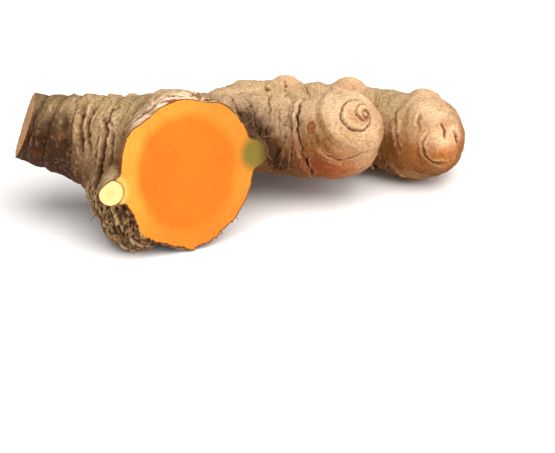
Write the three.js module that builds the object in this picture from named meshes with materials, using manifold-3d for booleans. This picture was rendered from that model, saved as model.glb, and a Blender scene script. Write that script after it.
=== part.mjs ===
// A fresh turmeric rhizome, lying on its side. The thick mother rhizome has been sliced across at
// the front. An older, thinner end of it runs off to the left and is snapped short. Two fingers grow
// from its right flank: a short one held clear of the table, whose tip turns up, and a long one
// behind it that rests on the table. The whole hand grew as one body, so it is one solid: every limb
// is a swept tube with leaf scars round it, and the tubes are joined into one.
//
// Millimetres, +Z up, +X along the length of the hand, -Y towards the cut face. The knots are placed
// from the middle of the cut face, and the finished body is moved so that its footprint is centred.

import * as THREE from "three";
import { ImprovedNoise } from "three/addons/math/ImprovedNoise.js";
import { mergeVertices } from "three/addons/utils/BufferGeometryUtils.js";
import Module from "manifold-3d";

// Driving dimensions. A knot is [x, y, z, radius] on a limb's centre line; a lobe is [how many times
// it comes round, share of the radius, degrees from the top]; a scar is its distance along the limb.
const CUT_CENTRE = [-0.2, -1.4, 18.4];
const CUT_TURN = THREE.MathUtils.degToRad(24); // how far the cut face looks to the right
const CUT_LIFT = THREE.MathUtils.degToRad(8); // and upwards
const SNAP_CENTRE = [-37.3, 15.6, 21.9];
const SNAP_NORMAL = [-0.93, -0.1, 0.37];

const MOTHER = {
  knots: [
    [1.2, -4.6, 18.8, 16],
    [-0.2, -1.4, 18.4, 16.3],
    [-2.2, 4.5, 17.4, 15.4],
    [-3.4, 12, 15.7, 13.8],
    [-2.6, 20, 13.4, 12.7],
    [-1, 27, 11.6, 10.6],
    [0.5, 32, 10.6, 7.6],
  ],
  lobes: [
    [2, 0.078, 0],
    [3, 0.02, -42],
  ],
  scars: [6, 11.5, 17.5, 23, 28, 32],
  tilt: 0.8,
  sides: 36,
};
const OLD_END = {
  knots: [
    [1, 4, 18, 12.2],
    [-6.5, 6.8, 17.6, 14.4],
    [-13, 9.4, 18.2, 13],
    [-19, 11.6, 19.2, 10.8],
    [-25.2, 13, 20, 9.2],
    [-30, 14.2, 20.4, 8.2],
    [-37.3, 15.6, 21.7, 7],
    [-42, 17, 22.4, 6.8],
  ],
  lobes: [
    [2, 0.05, 20],
    [3, 0.035, 70],
  ],
  scars: [8, 12, 16, 20, 24.5, 28.5, 33, 37.5],
  tilt: 1.1,
  sides: 26,
};
// The swelling under the old end, low on the left of the cut.
const SHOULDER = {
  knots: [
    [-3.6, 7.4, 14.6, 12],
    [-8, 5.6, 12.9, 13.4],
    [-12.2, 4.8, 12.4, 12.2],
    [-15.4, 6.6, 13.4, 9.4],
  ],
  lobes: [[3, 0.03, 10]],
  scars: [3.5, 7.5, 11.4, 14.4],
  tilt: 1.4,
  sides: 24,
};
// The foot below it, close behind the cut, which the feeding roots grew from.
const FOOT = {
  knots: [
    [-6, -0.5, 8, 6.5],
    [-11.3, -2, 5.8, 5.9],
    [-15.6, 0.4, 6, 4.8],
  ],
  scars: [4, 7.5],
  tilt: 1.2,
  sides: 20,
};
const SHORT_FINGER = {
  knots: [
    [-2, 13, 17, 9],
    [5, 19.5, 16.5, 9.4],
    [12, 22.5, 16, 9.2],
    [17.5, 23.2, 15.4, 9.1],
    [22.7, 23, 14.6, 9.2],
    [26.8, 22.3, 15.2, 9.6],
    [30.5, 21.6, 16, 9.6],
  ],
  lobes: [[2, 0.03, 40]],
  scars: [12.5, 16.5, 21, 25.5, 29.5, 33],
  tilt: 0.9,
  sides: 26,
};
const LONG_FINGER = {
  knots: [
    [-3, 20, 14.6, 9.2],
    [6.5, 30.5, 13.2, 9],
    [13, 36, 13.6, 8.6],
    [24, 39, 11.9, 8.6],
    [34, 40, 10.2, 8.9],
    [43, 38, 9.6, 9.5],
    [50, 34.6, 9.8, 9.8],
  ],
  lobes: [[2, 0.03, -60]],
  scars: [14, 19, 24, 29.5, 35, 41, 47, 53, 58],
  tilt: 0.8,
  sides: 26,
};
// The round tips turn away from their fingers, so their scars run round an axis of their own.
const SHORT_TIP = {
  centre: [33, 21, 16.4],
  axis: [0.43, -0.42, 0.8],
  radius: 10,
  scars: [10.1, 12.7, 15.2],
  sides: 26,
};
const LONG_TIP = {
  centre: [53, 32.6, 10.1],
  axis: [0.57, -0.735, 0.367],
  radius: 10.2,
  scars: [7.5, 11.2, 14.4],
  sides: 26,
};
// The girth of a round tip along its axis, both as shares of its radius.
const TIP_PROFILE = [
  [-0.7, 0.78],
  [-0.25, 0.97],
  [0.1, 1],
  [0.32, 0.94],
];

// Buds on the two tips, then three dormant ones along the back of the long finger.
const BUDS = [
  { knots: [[35.2, 18.9, 20.6, 4.4], [36.3, 17.8, 22.9, 4.1], [36.7, 17.4, 23.8, 3.7]], sides: 14 },
  { knots: [[37.6, 17.4, 23, 2.1], [38.6, 16.7, 24.6, 1.8], [38.9, 16.5, 25.2, 1.4]], sides: 8 },
  { knots: [[53.6, 29, 10.6, 6], [56.2, 24.6, 10.8, 5.6], [57, 23.4, 10.8, 4.6]], scars: [4], sides: 16 },
  { knots: [[56, 30, 12, 4.4], [59.4, 26.9, 12.6, 3.6], [60.2, 26, 12.8, 2.6]], scars: [4], sides: 12 },
  { knots: [[21, 38.6, 13, 5.2], [21.2, 40.8, 17.4, 4.6], [21.2, 41.6, 19.2, 3.6]], sides: 12 },
  { knots: [[35.6, 40.6, 12.4, 6.2], [36.4, 42.8, 15.8, 5.6], [36.7, 43.4, 17.2, 4.4]], sides: 12 },
  { knots: [[52, 33.6, 13, 6.5], [53.6, 35.2, 15.4, 5.8], [54.4, 36.2, 16.8, 4.8]], sides: 14 },
];
// Two side shoots that the knife took off in the plane of the cut face.
const SLICED_SHOOTS = [
  { knots: [[-9, 5, 16, 6.4], [-14, -2.4, 16.7, 4.3], [-17, -11.4, 17.4, 2.5]], sides: 14 },
  { knots: [[4, 12, 19, 7.4], [11.4, 8.9, 19.4, 4.3], [16.2, 2.6, 19.7, 2.1]], sides: 14 },
];

// Stumps of the feeding roots, on the underside of the mother and of its shoulder.
const ROOT_STUMPS = 12;
const STUMP_RADIUS = [0.8, 1.5];
const STUMP_STANDS = [0.7, 2.2]; // how far they stand out of the skin
const STUMP_PLACE = [0.16, 0.78]; // along the limb, as a share of its length
const STUMP_ANGLE = [112, 266]; // round it, in degrees from the top
const STUMP_ROOT = 0.82; // where they start, as a share of the limb's radius
const STUMP_FLARE = 1.25;
const STUMP_TAPER = 0.8;

// A leaf scar: how far before and after the groove each ring of points lies, and its height there.
const SCAR_PROFILE = [
  [-0.9, 0.24],
  [0, -0.42],
  [0.6, -0.04],
];
const SCAR_FADE = 0.6; // how much deeper and shallower a scar gets on its way round
const SWELL = 0.25; // how far an internode swells between two scars
const LONGEST_STEP = 2.8; // between rings of points where there is no scar
const CLOSEST_STEP = 0.35;
const FRAME_STEPS = 160; // samples of the frame along a centre line
const TILT_FADE = 3; // distance from either end of a limb within which its scars straighten up
const LUMP_SIZE = 9; // wavelength of the lumps
const LUMP_HEIGHT = 0.55;
const DOME_STEPS = 4;
const DOME_POWER = 2.3; // above 2, so that tips are blunt
const DOME_REACH = 0.75; // how far a tip goes on past the last knot, as a share of its radius
const DOME_ONSET = 0.1; // how far before the last knot it starts to round off, likewise
const DOME_TILT = 0.3;
const RELIEF_HOLD = 1.4; // above 1, so that the relief dies out only close to the end of the tip

const noise = new ImprovedNoise();
const lump = (p, size) => noise.noise(p.x / size + 7.3, p.y / size + 3.1, p.z / size + 5.7);

// Repeatable random numbers from 0 to 1.
function seeded(seed) {
  let state = seed;
  return () => {
    state = (state * 1664525 + 1013904223) % 4294967296;
    return state / 4294967296;
  };
}

// The centre line with its radius, and a frame that doesn't twist, at any distance along it.
function spineOf(knots) {
  const points = knots.map(([x, y, z]) => new THREE.Vector3(x, y, z));
  const line = new THREE.CatmullRomCurve3(points, false, "catmullrom", 0.5);
  const radii = knots.map((k) => new THREE.Vector3(k[3], 0, 0));
  const girth = new THREE.CatmullRomCurve3(radii, false, "catmullrom", 0.5);
  const length = line.getLength();
  const frames = [];
  const up = new THREE.Vector3(0, 0, 1);
  for (let i = 0; i <= FRAME_STEPS; i++) {
    const tangent = line.getTangentAt(i / FRAME_STEPS);
    const normal = (i ? frames[i - 1].normal : up).clone();
    normal.addScaledVector(tangent, -normal.dot(tangent)).normalize();
    frames.push({ normal, side: tangent.clone().cross(normal) });
  }
  return {
    length,
    at(distance) {
      const u = THREE.MathUtils.clamp(distance / length, 0, 1);
      const frame = frames[Math.round(u * FRAME_STEPS)];
      return { centre: line.getPointAt(u), radius: girth.getPoint(line.getUtoTmapping(u)).x, ...frame };
    },
  };
}

// Where the rings of vertices lie along a limb, and how high each stands: close together at the
// leaf scars and on the tip, further apart between them.
function stationsOf(length, domeStart, scars, random) {
  const stations = [{ s: 0, height: 0, tilt: 0, phase: 0, deepest: 0 }];
  for (const scar of scars) {
    const tilt = 0.5 + random();
    const phase = random() * Math.PI * 2;
    const depth = 0.7 + 0.5 * random();
    const deepest = random() * Math.PI * 2;
    for (const [offset, height] of SCAR_PROFILE) {
      stations.push({ s: scar + offset, height: height * depth, tilt, phase, deepest });
    }
  }
  for (let i = 0; i < DOME_STEPS; i++) {
    const s = domeStart + (length - domeStart) * Math.sin((i / DOME_STEPS) * (Math.PI / 2));
    stations.push({ s, height: 0, tilt: DOME_TILT, phase: 0, deepest: 0 });
  }
  stations.sort((a, b) => a.s - b.s);
  const spread = [stations[0]];
  for (const next of stations.slice(1)) {
    const last = spread[spread.length - 1];
    const gap = next.s - last.s;
    if (gap < CLOSEST_STEP) continue;
    const extra = Math.floor(gap / LONGEST_STEP);
    for (let i = 1; i <= extra; i++) {
      const share = i / (extra + 1);
      const swell = SWELL * Math.sin(share * Math.PI);
      spread.push({
        s: last.s + gap * share,
        height: THREE.MathUtils.lerp(last.height, next.height, share) + swell,
        tilt: THREE.MathUtils.lerp(last.tilt, next.tilt, share),
        phase: last.phase,
        deepest: last.deepest,
      });
    }
    spread.push(next);
  }
  return spread;
}

// One limb: a tube along its spine with leaf scars, a lumpy skin and a blunt, closed tip.
function limb({ knots, lobes = [], scars = [], tilt = 0.3, sides, lumps = LUMP_HEIGHT }, seed) {
  const random = seeded(seed);
  const spine = spineOf(knots);
  const tipRadius = knots[knots.length - 1][3];
  const length = spine.length + tipRadius * DOME_REACH;
  const domeStart = spine.length - tipRadius * DOME_ONSET;
  const stations = stationsOf(length, domeStart, scars, random);

  const positions = [];
  const indices = [];
  const tipFrame = spine.at(spine.length);
  const tipDirection = tipFrame.normal.clone().cross(tipFrame.side);
  const pointAt = (station, angle) => {
    const fade = Math.min(1, station.s / TILT_FADE, (length - station.s) / TILT_FADE);
    const s = station.s + tilt * station.tilt * fade * Math.cos(angle - station.phase);
    const { centre, radius, normal, side } = spine.at(s);
    if (s > spine.length) centre.addScaledVector(tipDirection, s - spine.length);
    const past = Math.max(0, (s - domeStart) / (length - domeStart));
    const dome = Math.pow(Math.max(0, 1 - Math.pow(past, DOME_POWER)), 1 / DOME_POWER);
    let section = 1;
    for (const [order, amount, degrees] of lobes) {
      section += amount * Math.cos(order * (angle - THREE.MathUtils.degToRad(degrees)));
    }
    const out = normal.clone().multiplyScalar(Math.cos(angle)).addScaledVector(side, Math.sin(angle));
    const p = centre.clone().addScaledVector(out, radius * section * dome);
    const rough = lumps * (lump(p, LUMP_SIZE) + 0.5 * lump(p, LUMP_SIZE / 2.3));
    const relief = station.height * (1 + SCAR_FADE * Math.cos(angle - station.deepest));
    return p.addScaledVector(out, (relief + rough) * Math.min(1, dome * RELIEF_HOLD));
  };

  const start = spine.at(0).centre;
  positions.push(start.x, start.y, start.z);
  for (const station of stations) {
    for (let i = 0; i < sides; i++) {
      const p = pointAt(station, (i / sides) * Math.PI * 2);
      positions.push(p.x, p.y, p.z);
    }
  }
  const tip = tipFrame.centre.clone().addScaledVector(tipDirection, length - spine.length);
  positions.push(tip.x, tip.y, tip.z);
  const ring = (row, i) => 1 + row * sides + (i % sides);
  const last = stations.length - 1;
  const tipIndex = 1 + stations.length * sides;
  for (let i = 0; i < sides; i++) {
    indices.push(0, ring(0, i + 1), ring(0, i));
    for (let row = 0; row < last; row++) {
      const [a, b, c, d] = [ring(row, i), ring(row, i + 1), ring(row + 1, i), ring(row + 1, i + 1)];
      indices.push(a, b, c, b, d, c);
    }
    indices.push(ring(last, i), ring(last, i + 1), tipIndex);
  }
  const geometry = new THREE.BufferGeometry();
  geometry.setAttribute("position", new THREE.Float32BufferAttribute(positions, 3));
  geometry.setIndex(indices);
  return geometry;
}

// The round tip of a finger: a blunt ball whose centre line is its own axis.
function tipOf({ centre, axis, radius, scars, sides }) {
  const direction = new THREE.Vector3(...axis).normalize();
  const knots = TIP_PROFILE.map(([along, girth]) => {
    const p = new THREE.Vector3(...centre).addScaledVector(direction, along * radius);
    return [p.x, p.y, p.z, girth * radius];
  });
  return { knots, scars, sides };
}

// Root stumps: short blunt pegs that leave the skin downwards and outwards.
function rootStumps() {
  const random = seeded(5);
  const spread = (range) => THREE.MathUtils.lerp(range[0], range[1], random());
  const pegs = [];
  for (let i = 0; i < ROOT_STUMPS; i++) {
    const parent = i % 2 ? SHOULDER : MOTHER;
    const spine = spineOf(parent.knots);
    const { centre, radius, normal, side } = spine.at(spine.length * spread(STUMP_PLACE));
    const angle = THREE.MathUtils.degToRad(spread(STUMP_ANGLE));
    const out = normal.clone().multiplyScalar(Math.cos(angle)).addScaledVector(side, Math.sin(angle));
    const thick = spread(STUMP_RADIUS);
    const root = centre.clone().addScaledVector(out, radius * STUMP_ROOT);
    const end = centre.clone().addScaledVector(out, radius + spread(STUMP_STANDS));
    const middle = root.clone().lerp(end, 0.5);
    pegs.push({
      knots: [
        [root.x, root.y, root.z, thick * STUMP_FLARE],
        [middle.x, middle.y, middle.z, thick],
        [end.x, end.y, end.z, thick * STUMP_TAPER],
      ],
      sides: 7,
      lumps: 0.2,
    });
  }
  return pegs;
}

// A slab whose near face lies in the plane through a point, on the side that the normal points to.
function slabBeyond(point, normal, size = 120) {
  const slab = new THREE.BoxGeometry(size, size, size);
  slab.translate(0, 0, size / 2);
  const turn = new THREE.Quaternion().setFromUnitVectors(new THREE.Vector3(0, 0, 1), normal);
  slab.applyQuaternion(turn);
  slab.translate(...point);
  return slab;
}

const wasm = await Module();
wasm.setup();

function solidOf(geometry) {
  const bare = geometry.clone();
  bare.deleteAttribute("normal");
  bare.deleteAttribute("uv");
  const merged = mergeVertices(bare, 1e-4);
  const vertProperties = merged.attributes.position.array;
  const triVerts = new Uint32Array(merged.index.array);
  return new wasm.Manifold(new wasm.Mesh({ numProp: 3, vertProperties, triVerts }));
}

function geometryOf(solid) {
  const { vertProperties, triVerts } = solid.getMesh();
  const geometry = new THREE.BufferGeometry();
  geometry.setAttribute("position", new THREE.BufferAttribute(vertProperties, 3));
  geometry.setIndex(new THREE.BufferAttribute(triVerts, 1));
  return geometry;
}

function joined(forms, seed) {
  const solids = forms.map((form, i) => solidOf(limb(form, seed + i)));
  return solids.reduce((body, solid) => body.add(solid));
}

function rhizome() {
  const cutNormal = new THREE.Vector3(
    Math.sin(CUT_TURN) * Math.cos(CUT_LIFT),
    -Math.cos(CUT_TURN) * Math.cos(CUT_LIFT),
    Math.sin(CUT_LIFT),
  );
  const snapNormal = new THREE.Vector3(...SNAP_NORMAL).normalize();
  const down = new THREE.Vector3(0, 0, -1);
  const mother = joined([MOTHER, OLD_END, SHOULDER, ...SLICED_SHOOTS, ...rootStumps(), FOOT], 11)
    .subtract(solidOf(slabBeyond(CUT_CENTRE, cutNormal)))
    .subtract(solidOf(slabBeyond(SNAP_CENTRE, snapNormal)));
  const fingers = joined([SHORT_FINGER, LONG_FINGER, tipOf(SHORT_TIP), tipOf(LONG_TIP), ...BUDS], 41);
  // The table presses flat the few places that the hand rests on.
  const body = geometryOf(mother.add(fingers).subtract(solidOf(slabBeyond([0, 0, 0], down, 200))));
  body.computeBoundingBox();
  const middle = body.boundingBox.getCenter(new THREE.Vector3());
  return body.translate(-middle.x, -middle.y, 0);
}

const skin = new THREE.MeshStandardMaterial({ color: 0xb08a5c, roughness: 0.85, metalness: 0 });
const root = new THREE.Mesh(rhizome(), skin);
root.name = "turmeric_root";

const hand = new THREE.Group();
hand.add(root);

export default hand;
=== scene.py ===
"""A fresh turmeric hand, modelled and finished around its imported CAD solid, for Blender 4.5.

The CAD solid is copied, remeshed finely and given its skin: leaf scars, ring wrinkles, bark and
creases, each set out along the limbs that the solid was built from. The knife's plane and the
snapped end are then cut again, so that their rims follow the finished skin. Root fibres and loose
flakes of skin are pieces of their own. Everything is in metres, in the frame of the CAD model;
lengths along the limbs are in millimetres from the middle of the cut face, as in the CAD source.
"""

import math
import random

import bpy
import numpy as np
from mathutils import Matrix, Vector, noise


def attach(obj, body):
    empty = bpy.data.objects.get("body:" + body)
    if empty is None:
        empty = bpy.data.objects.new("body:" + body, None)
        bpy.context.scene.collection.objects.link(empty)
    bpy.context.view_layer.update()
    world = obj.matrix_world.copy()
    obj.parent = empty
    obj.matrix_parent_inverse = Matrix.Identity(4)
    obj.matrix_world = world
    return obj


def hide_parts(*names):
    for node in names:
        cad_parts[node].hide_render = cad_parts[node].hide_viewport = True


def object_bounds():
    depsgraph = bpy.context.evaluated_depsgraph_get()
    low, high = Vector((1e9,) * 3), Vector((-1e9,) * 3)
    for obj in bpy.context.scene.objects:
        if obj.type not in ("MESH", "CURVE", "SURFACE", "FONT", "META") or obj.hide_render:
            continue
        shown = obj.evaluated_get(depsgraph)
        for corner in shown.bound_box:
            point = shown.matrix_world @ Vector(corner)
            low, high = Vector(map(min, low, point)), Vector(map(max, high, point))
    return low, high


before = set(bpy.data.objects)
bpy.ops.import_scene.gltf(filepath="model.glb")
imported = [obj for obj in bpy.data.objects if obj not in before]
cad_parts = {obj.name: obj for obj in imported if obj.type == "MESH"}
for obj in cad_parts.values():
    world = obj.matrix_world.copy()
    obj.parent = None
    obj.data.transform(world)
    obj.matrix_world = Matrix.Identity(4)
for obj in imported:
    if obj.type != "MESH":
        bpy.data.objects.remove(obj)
CAD_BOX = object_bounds()

bl_info = {
    "name": "Turmeric hand",
    "version": (1, 0, 0),
    "blender": (4, 5, 0),
    "location": "View3D > Sidebar > Turmeric",
    "description": "Builds a fresh turmeric hand with a cut face, and the stage that it lies on",
    "category": "Object",
}

NODE = "turmeric_root"
MM = 0.001

# The middle of the cut face, which the limbs are measured from, seen from the CAD origin (mm).
LIMB_ORIGIN = np.array([-11.8371, -19.6284, 0.0])

CUT_CENTRE = np.array([-0.2, -1.4, 18.4])
CUT_TURN = math.radians(24)
CUT_LIFT = math.radians(8)
CUT_NORMAL = np.array(
    [
        math.sin(CUT_TURN) * math.cos(CUT_LIFT),
        -math.cos(CUT_TURN) * math.cos(CUT_LIFT),
        math.sin(CUT_LIFT),
    ]
)
CUT_RIGHT = np.array([math.cos(CUT_TURN), math.sin(CUT_TURN), 0.0])
CUT_UP = np.cross(CUT_RIGHT, CUT_NORMAL) * -1
SNAP_CENTRE = np.array([-37.3, 15.6, 21.9])
SNAP_NORMAL = np.array([-0.93, -0.1, 0.37]) / np.linalg.norm([-0.93, -0.1, 0.37])

# The limbs, as the CAD source has them. A knot is [x, y, z, radius]; a lobe is (how many times it
# comes round, share of the radius, degrees from the top); a scar is its distance along the limb.
# The rest is the look of the skin at the limb's root and at its tip: age 0 is young and pale, 1 is
# old and dark; scar_depth and wrinkle are heights in mm. wrinkle_gap is the mm between two wrinkles.
OLD_LOOK = dict(age=(0.7, 0.8), scar_depth=(0.4, 0.4), wrinkle=(0.5, 0.5), wrinkle_gap=2.0)
SHOOT_LOOK = dict(age=(0.5, 0.5), scar_depth=(0.2, 0.2), wrinkle=(0.2, 0.2), wrinkle_gap=1.4)
BUD_LOOK = dict(scar_depth=(0.1, 0.1), wrinkle=(0.1, 0.1), wrinkle_gap=0.8)
MOTHER = dict(
    knots=[
        [1.2, -4.6, 18.8, 16], [-0.2, -1.4, 18.4, 16.3], [-2.2, 4.5, 17.4, 15.4],
        [-3.4, 12, 15.7, 13.8], [-2.6, 20, 13.4, 12.7], [-1, 27, 11.6, 10.6], [0.5, 32, 10.6, 7.6],
    ],
    lobes=[(2, 0.078, 0), (3, 0.02, -42)],
    scars=[6, 11.5, 17.5, 23, 28, 32],
    tilt=0.8,
    seed=11,
    age=(0.62, 0.45),
    scar_depth=(0.3, 0.34),
    wrinkle=(0.5, 0.4),
    wrinkle_gap=2.3,
)
OLD_END = dict(
    knots=[
        [1, 4, 18, 12.2], [-6.5, 6.8, 17.6, 14.4], [-13, 9.4, 18.2, 13], [-19, 11.6, 19.2, 10.8],
        [-25.2, 13, 20, 9.2], [-30, 14.2, 20.4, 8.2], [-37.3, 15.6, 21.7, 7], [-42, 17, 22.4, 6.8],
    ],
    lobes=[(2, 0.05, 20), (3, 0.035, 70)],
    scars=[8, 12, 16, 20, 24.5, 28.5, 33, 37.5],
    tilt=1.1,
    seed=12,
    age=(0.45, 1.0),
    scar_depth=(0.42, 0.05),
    wrinkle=(0.55, 0.02),
    wrinkle_gap=2.8,
)
SHOULDER = dict(
    knots=[[-3.6, 7.4, 14.6, 12], [-8, 5.6, 12.9, 13.4], [-12.2, 4.8, 12.4, 12.2], [-15.4, 6.6, 13.4, 9.4]],
    lobes=[(3, 0.03, 10)],
    scars=[3.5, 7.5, 11.4, 14.4],
    tilt=1.4,
    seed=13,
    **OLD_LOOK,
)
LEFT_SHOOT = dict(
    knots=[[-9, 5, 16, 6.4], [-14, -2.4, 16.7, 4.3], [-17, -11.4, 17.4, 2.5]],
    seed=14,
    **SHOOT_LOOK,
)
RIGHT_SHOOT = dict(
    knots=[[4, 12, 19, 7.4], [11.4, 8.9, 19.4, 4.3], [16.2, 2.6, 19.7, 2.1]],
    seed=15,
    **SHOOT_LOOK,
)
FOOT = dict(
    knots=[[-6, -0.5, 8, 6.5], [-11.3, -2, 5.8, 5.9], [-15.6, 0.4, 6, 4.8]],
    scars=[4, 7.5],
    tilt=1.2,
    seed=28,
    **OLD_LOOK,
)
SHORT_FINGER = dict(
    knots=[
        [-2, 13, 17, 9], [5, 19.5, 16.5, 9.4], [12, 22.5, 16, 9.2], [17.5, 23.2, 15.4, 9.1],
        [22.7, 23, 14.6, 9.2], [26.8, 22.3, 15.2, 9.6], [30.5, 21.6, 16, 9.6],
    ],
    lobes=[(2, 0.03, 40)],
    scars=[12.5, 16.5, 21, 25.5, 29.5, 33],
    tilt=0.9,
    seed=41,
    age=(0.4, 0.2),
    scar_depth=(0.4, 0.24),
    wrinkle=(0.24, 0.2),
    wrinkle_gap=1.6,
)
LONG_FINGER = dict(
    knots=[
        [-3, 20, 14.6, 9.2], [6.5, 30.5, 13.2, 9], [13, 36, 13.6, 8.6], [24, 39, 11.9, 8.6],
        [34, 40, 10.2, 8.9], [43, 38, 9.6, 9.5], [50, 34.6, 9.8, 9.8],
    ],
    lobes=[(2, 0.03, -60)],
    scars=[14, 19, 24, 29.5, 35, 41, 47, 53, 58],
    tilt=0.8,
    seed=42,
    age=(0.35, 0.75),
    scar_depth=(0.3, 0.2),
    wrinkle=(0.22, 0.22),
    wrinkle_gap=1.6,
)
# The girth of a round tip along its axis, both as shares of its radius.
TIP_PROFILE = [(-0.7, 0.78), (-0.25, 0.97), (0.1, 1.0), (0.32, 0.94)]


def tip(centre, axis, radius, **rest):
    """The round tip of a finger, as a limb along its own axis."""
    direction = np.array(axis) / np.linalg.norm(axis)
    knots = [
        [*(np.array(centre) + direction * along * radius), girth * radius]
        for along, girth in TIP_PROFILE
    ]
    return dict(knots=knots, scar_depth=(0.16, 0.16), wrinkle=(0.15, 0.15), wrinkle_gap=1.3, **rest)


SHORT_TIP = tip(
    [33, 21, 16.4], [0.43, -0.42, 0.8], 10, scars=[4.5, 8], seed=43, age=(0.25, 0.2)
)
LONG_TIP = tip(
    [53, 32.6, 10.1], [0.57, -0.735, 0.367], 10.2, scars=[4, 8.5], seed=44, age=(0.75, 0.2)
)
SHORT_BUD = dict(
    knots=[[35.2, 18.9, 20.6, 4.4], [36.3, 17.8, 22.9, 4.1], [36.7, 17.4, 23.8, 3.7]],
    seed=45,
    age=(0.2, 0.1),
    **BUD_LOOK,
)
SHORT_BUD_NUB = dict(
    knots=[[37.6, 17.4, 23, 2.1], [38.6, 16.7, 24.6, 1.8], [38.9, 16.5, 25.2, 1.4]],
    seed=46,
    age=(0.2, 0.1),
    **BUD_LOOK,
)
LONG_BUD = dict(
    knots=[[53.6, 29, 10.6, 6], [56.2, 24.6, 10.8, 5.6], [57, 23.4, 10.8, 4.6]],
    seed=47,
    age=(0.0, 0.0),
    **BUD_LOOK,
)
LONG_BUD_LOBE = dict(
    knots=[[56, 30, 12, 4.4], [59.4, 26.9, 12.6, 3.6], [60.2, 26, 12.8, 2.6]],
    seed=48,
    age=(0.0, 0.0),
    **BUD_LOOK,
)
DORMANT_BUDS = [
    dict(knots=[[21, 38.6, 13, 5.2], [21.2, 40.8, 17.4, 4.6], [21.2, 41.6, 19.2, 3.6]], seed=49),
    dict(knots=[[35.6, 40.6, 12.4, 6.2], [36.4, 42.8, 15.8, 5.6], [36.7, 43.4, 17.2, 4.4]], seed=50),
    dict(knots=[[52, 33.6, 13, 6.5], [53.6, 35.2, 15.4, 5.8], [54.4, 36.2, 16.8, 4.8]], seed=51),
]
for bud in DORMANT_BUDS:
    bud.update(age=(0.1, 0.0), **BUD_LOOK)

LIMBS = [
    MOTHER, OLD_END, SHOULDER, FOOT, LEFT_SHOOT, RIGHT_SHOOT, SHORT_FINGER, LONG_FINGER, SHORT_TIP,
    LONG_TIP, SHORT_BUD, SHORT_BUD_NUB, LONG_BUD, LONG_BUD_LOBE, *DORMANT_BUDS,
]

# How the CAD source rounds the end of a limb, walks its centre line (mm) and fades its tilted scars.
DOME_POWER = 2.3
DOME_REACH = 0.75
DOME_ONSET = 0.1
SPINE_STEP = 0.5
TILT_FADE = 3.0
LIMB_BLEND = 0.9  # how far off its surface a limb still marks the skin (mm)
OFF_CUT = 99.0  # what stands for a vertex's distance from the rim (mm) outside the flat cuts
FAR = 99.0  # farther than anything is from a line on the skin (mm)
BARELY = 0.004  # a limb's mark on the skin that is too faint to count
TURN_SHIFT = 31.0  # how far apart the limbs' streaks are drawn from one another's (mm)
RIM_RADIUS = 15.0  # a middling radius of the cut face (mm), for lengths along its rim
MOTHER_RADIUS = 16.2  # radius of the mother in the plane of the cut, but for her lobes (mm)
RESTING = 0.12  # skin lower than this lies on the floor and stays flat (mm)
PUSH_OUT = 2.4  # how far the flat cuts are pushed out while the skin is shaped (mm)
SLIVER = 1e-8  # faces below this area have no direction worth reading (square metres)
FACING = 0.999  # a face looks along a normal where their dot product is above this
LEVEL, LEVEL_IN_SOLID = 0.004, 0.02  # a face nearer than this to a plane lies in it (mm)
FIBRE_SINK, FLAKE_SINK = 0.00012, 0.00005  # how deep their roots sit in the skin (metres)
FLAKE_THICKNESS = 0.00009  # of a loose scale of skin (metres)
# The inputs that a noise and a range node take, in the order of the tables below.
NOISE = ("Vector", "Scale", "Detail", "Roughness")
RANGE = ("Value", "From Min", "From Max", "To Min", "To Max")

# Places on the skin, in mm from the middle of the cut face.
GRAZE_CENTRE, GRAZE_SIZE = np.array([30.0, 12.5, 11.5]), np.array([6.5, 6.0, 4.6])
OVAL_SCAR_CENTRE, OVAL_SCAR_SIZE = np.array([26.9, 14.7, 21.1]), np.array([1.0, 1.0, 1.6])
LEFT_SHOOT_DISC, LEFT_SHOOT_RADIUS = np.array([-16.2, -8.75, 17.3]), 2.9
RIGHT_LOBE_DISC, RIGHT_LOBE_RADIUS = np.array([14.92, 5.55, 19.71]), 3.0
CREVICE = [
    [14, 7.8, 23.2], [13, 12.5, 23.4], [12.6, 15.5, 22.9],
    [16.4, 13.6, 19], [18.8, 13.4, 13.5], [19.8, 14, 7],
]
SNOUT_CENTRE, SNOUT_RADIUS = np.array([57.6, 23.4, 12.8]), 5.0
BUD_TOP, BUD_TOP_RADIUS = np.array([37.2, 15.2, 24.8]), 3.4
DORMANT_BUD_RADIUS = 4.5
# Where the painted shade on the underside is weaker: the right cheek of the short finger, and the end by
# the mother.
RIGHT_CHEEK, RIGHT_CHEEK_SIZE = np.array([40.4, 13.5, 18.9]), np.array([8.0, 9.0, 9.0])
LIGHT_NECK, LIGHT_NECK_SIZE = np.array([-21.5, 3.0, 24.0]), np.array([6.0, 9.0, 9.0])
ROOT_SCARS, FIRST_ROOT_SCAR = 40, np.array([12.1, 18.1, 24.6])

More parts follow.
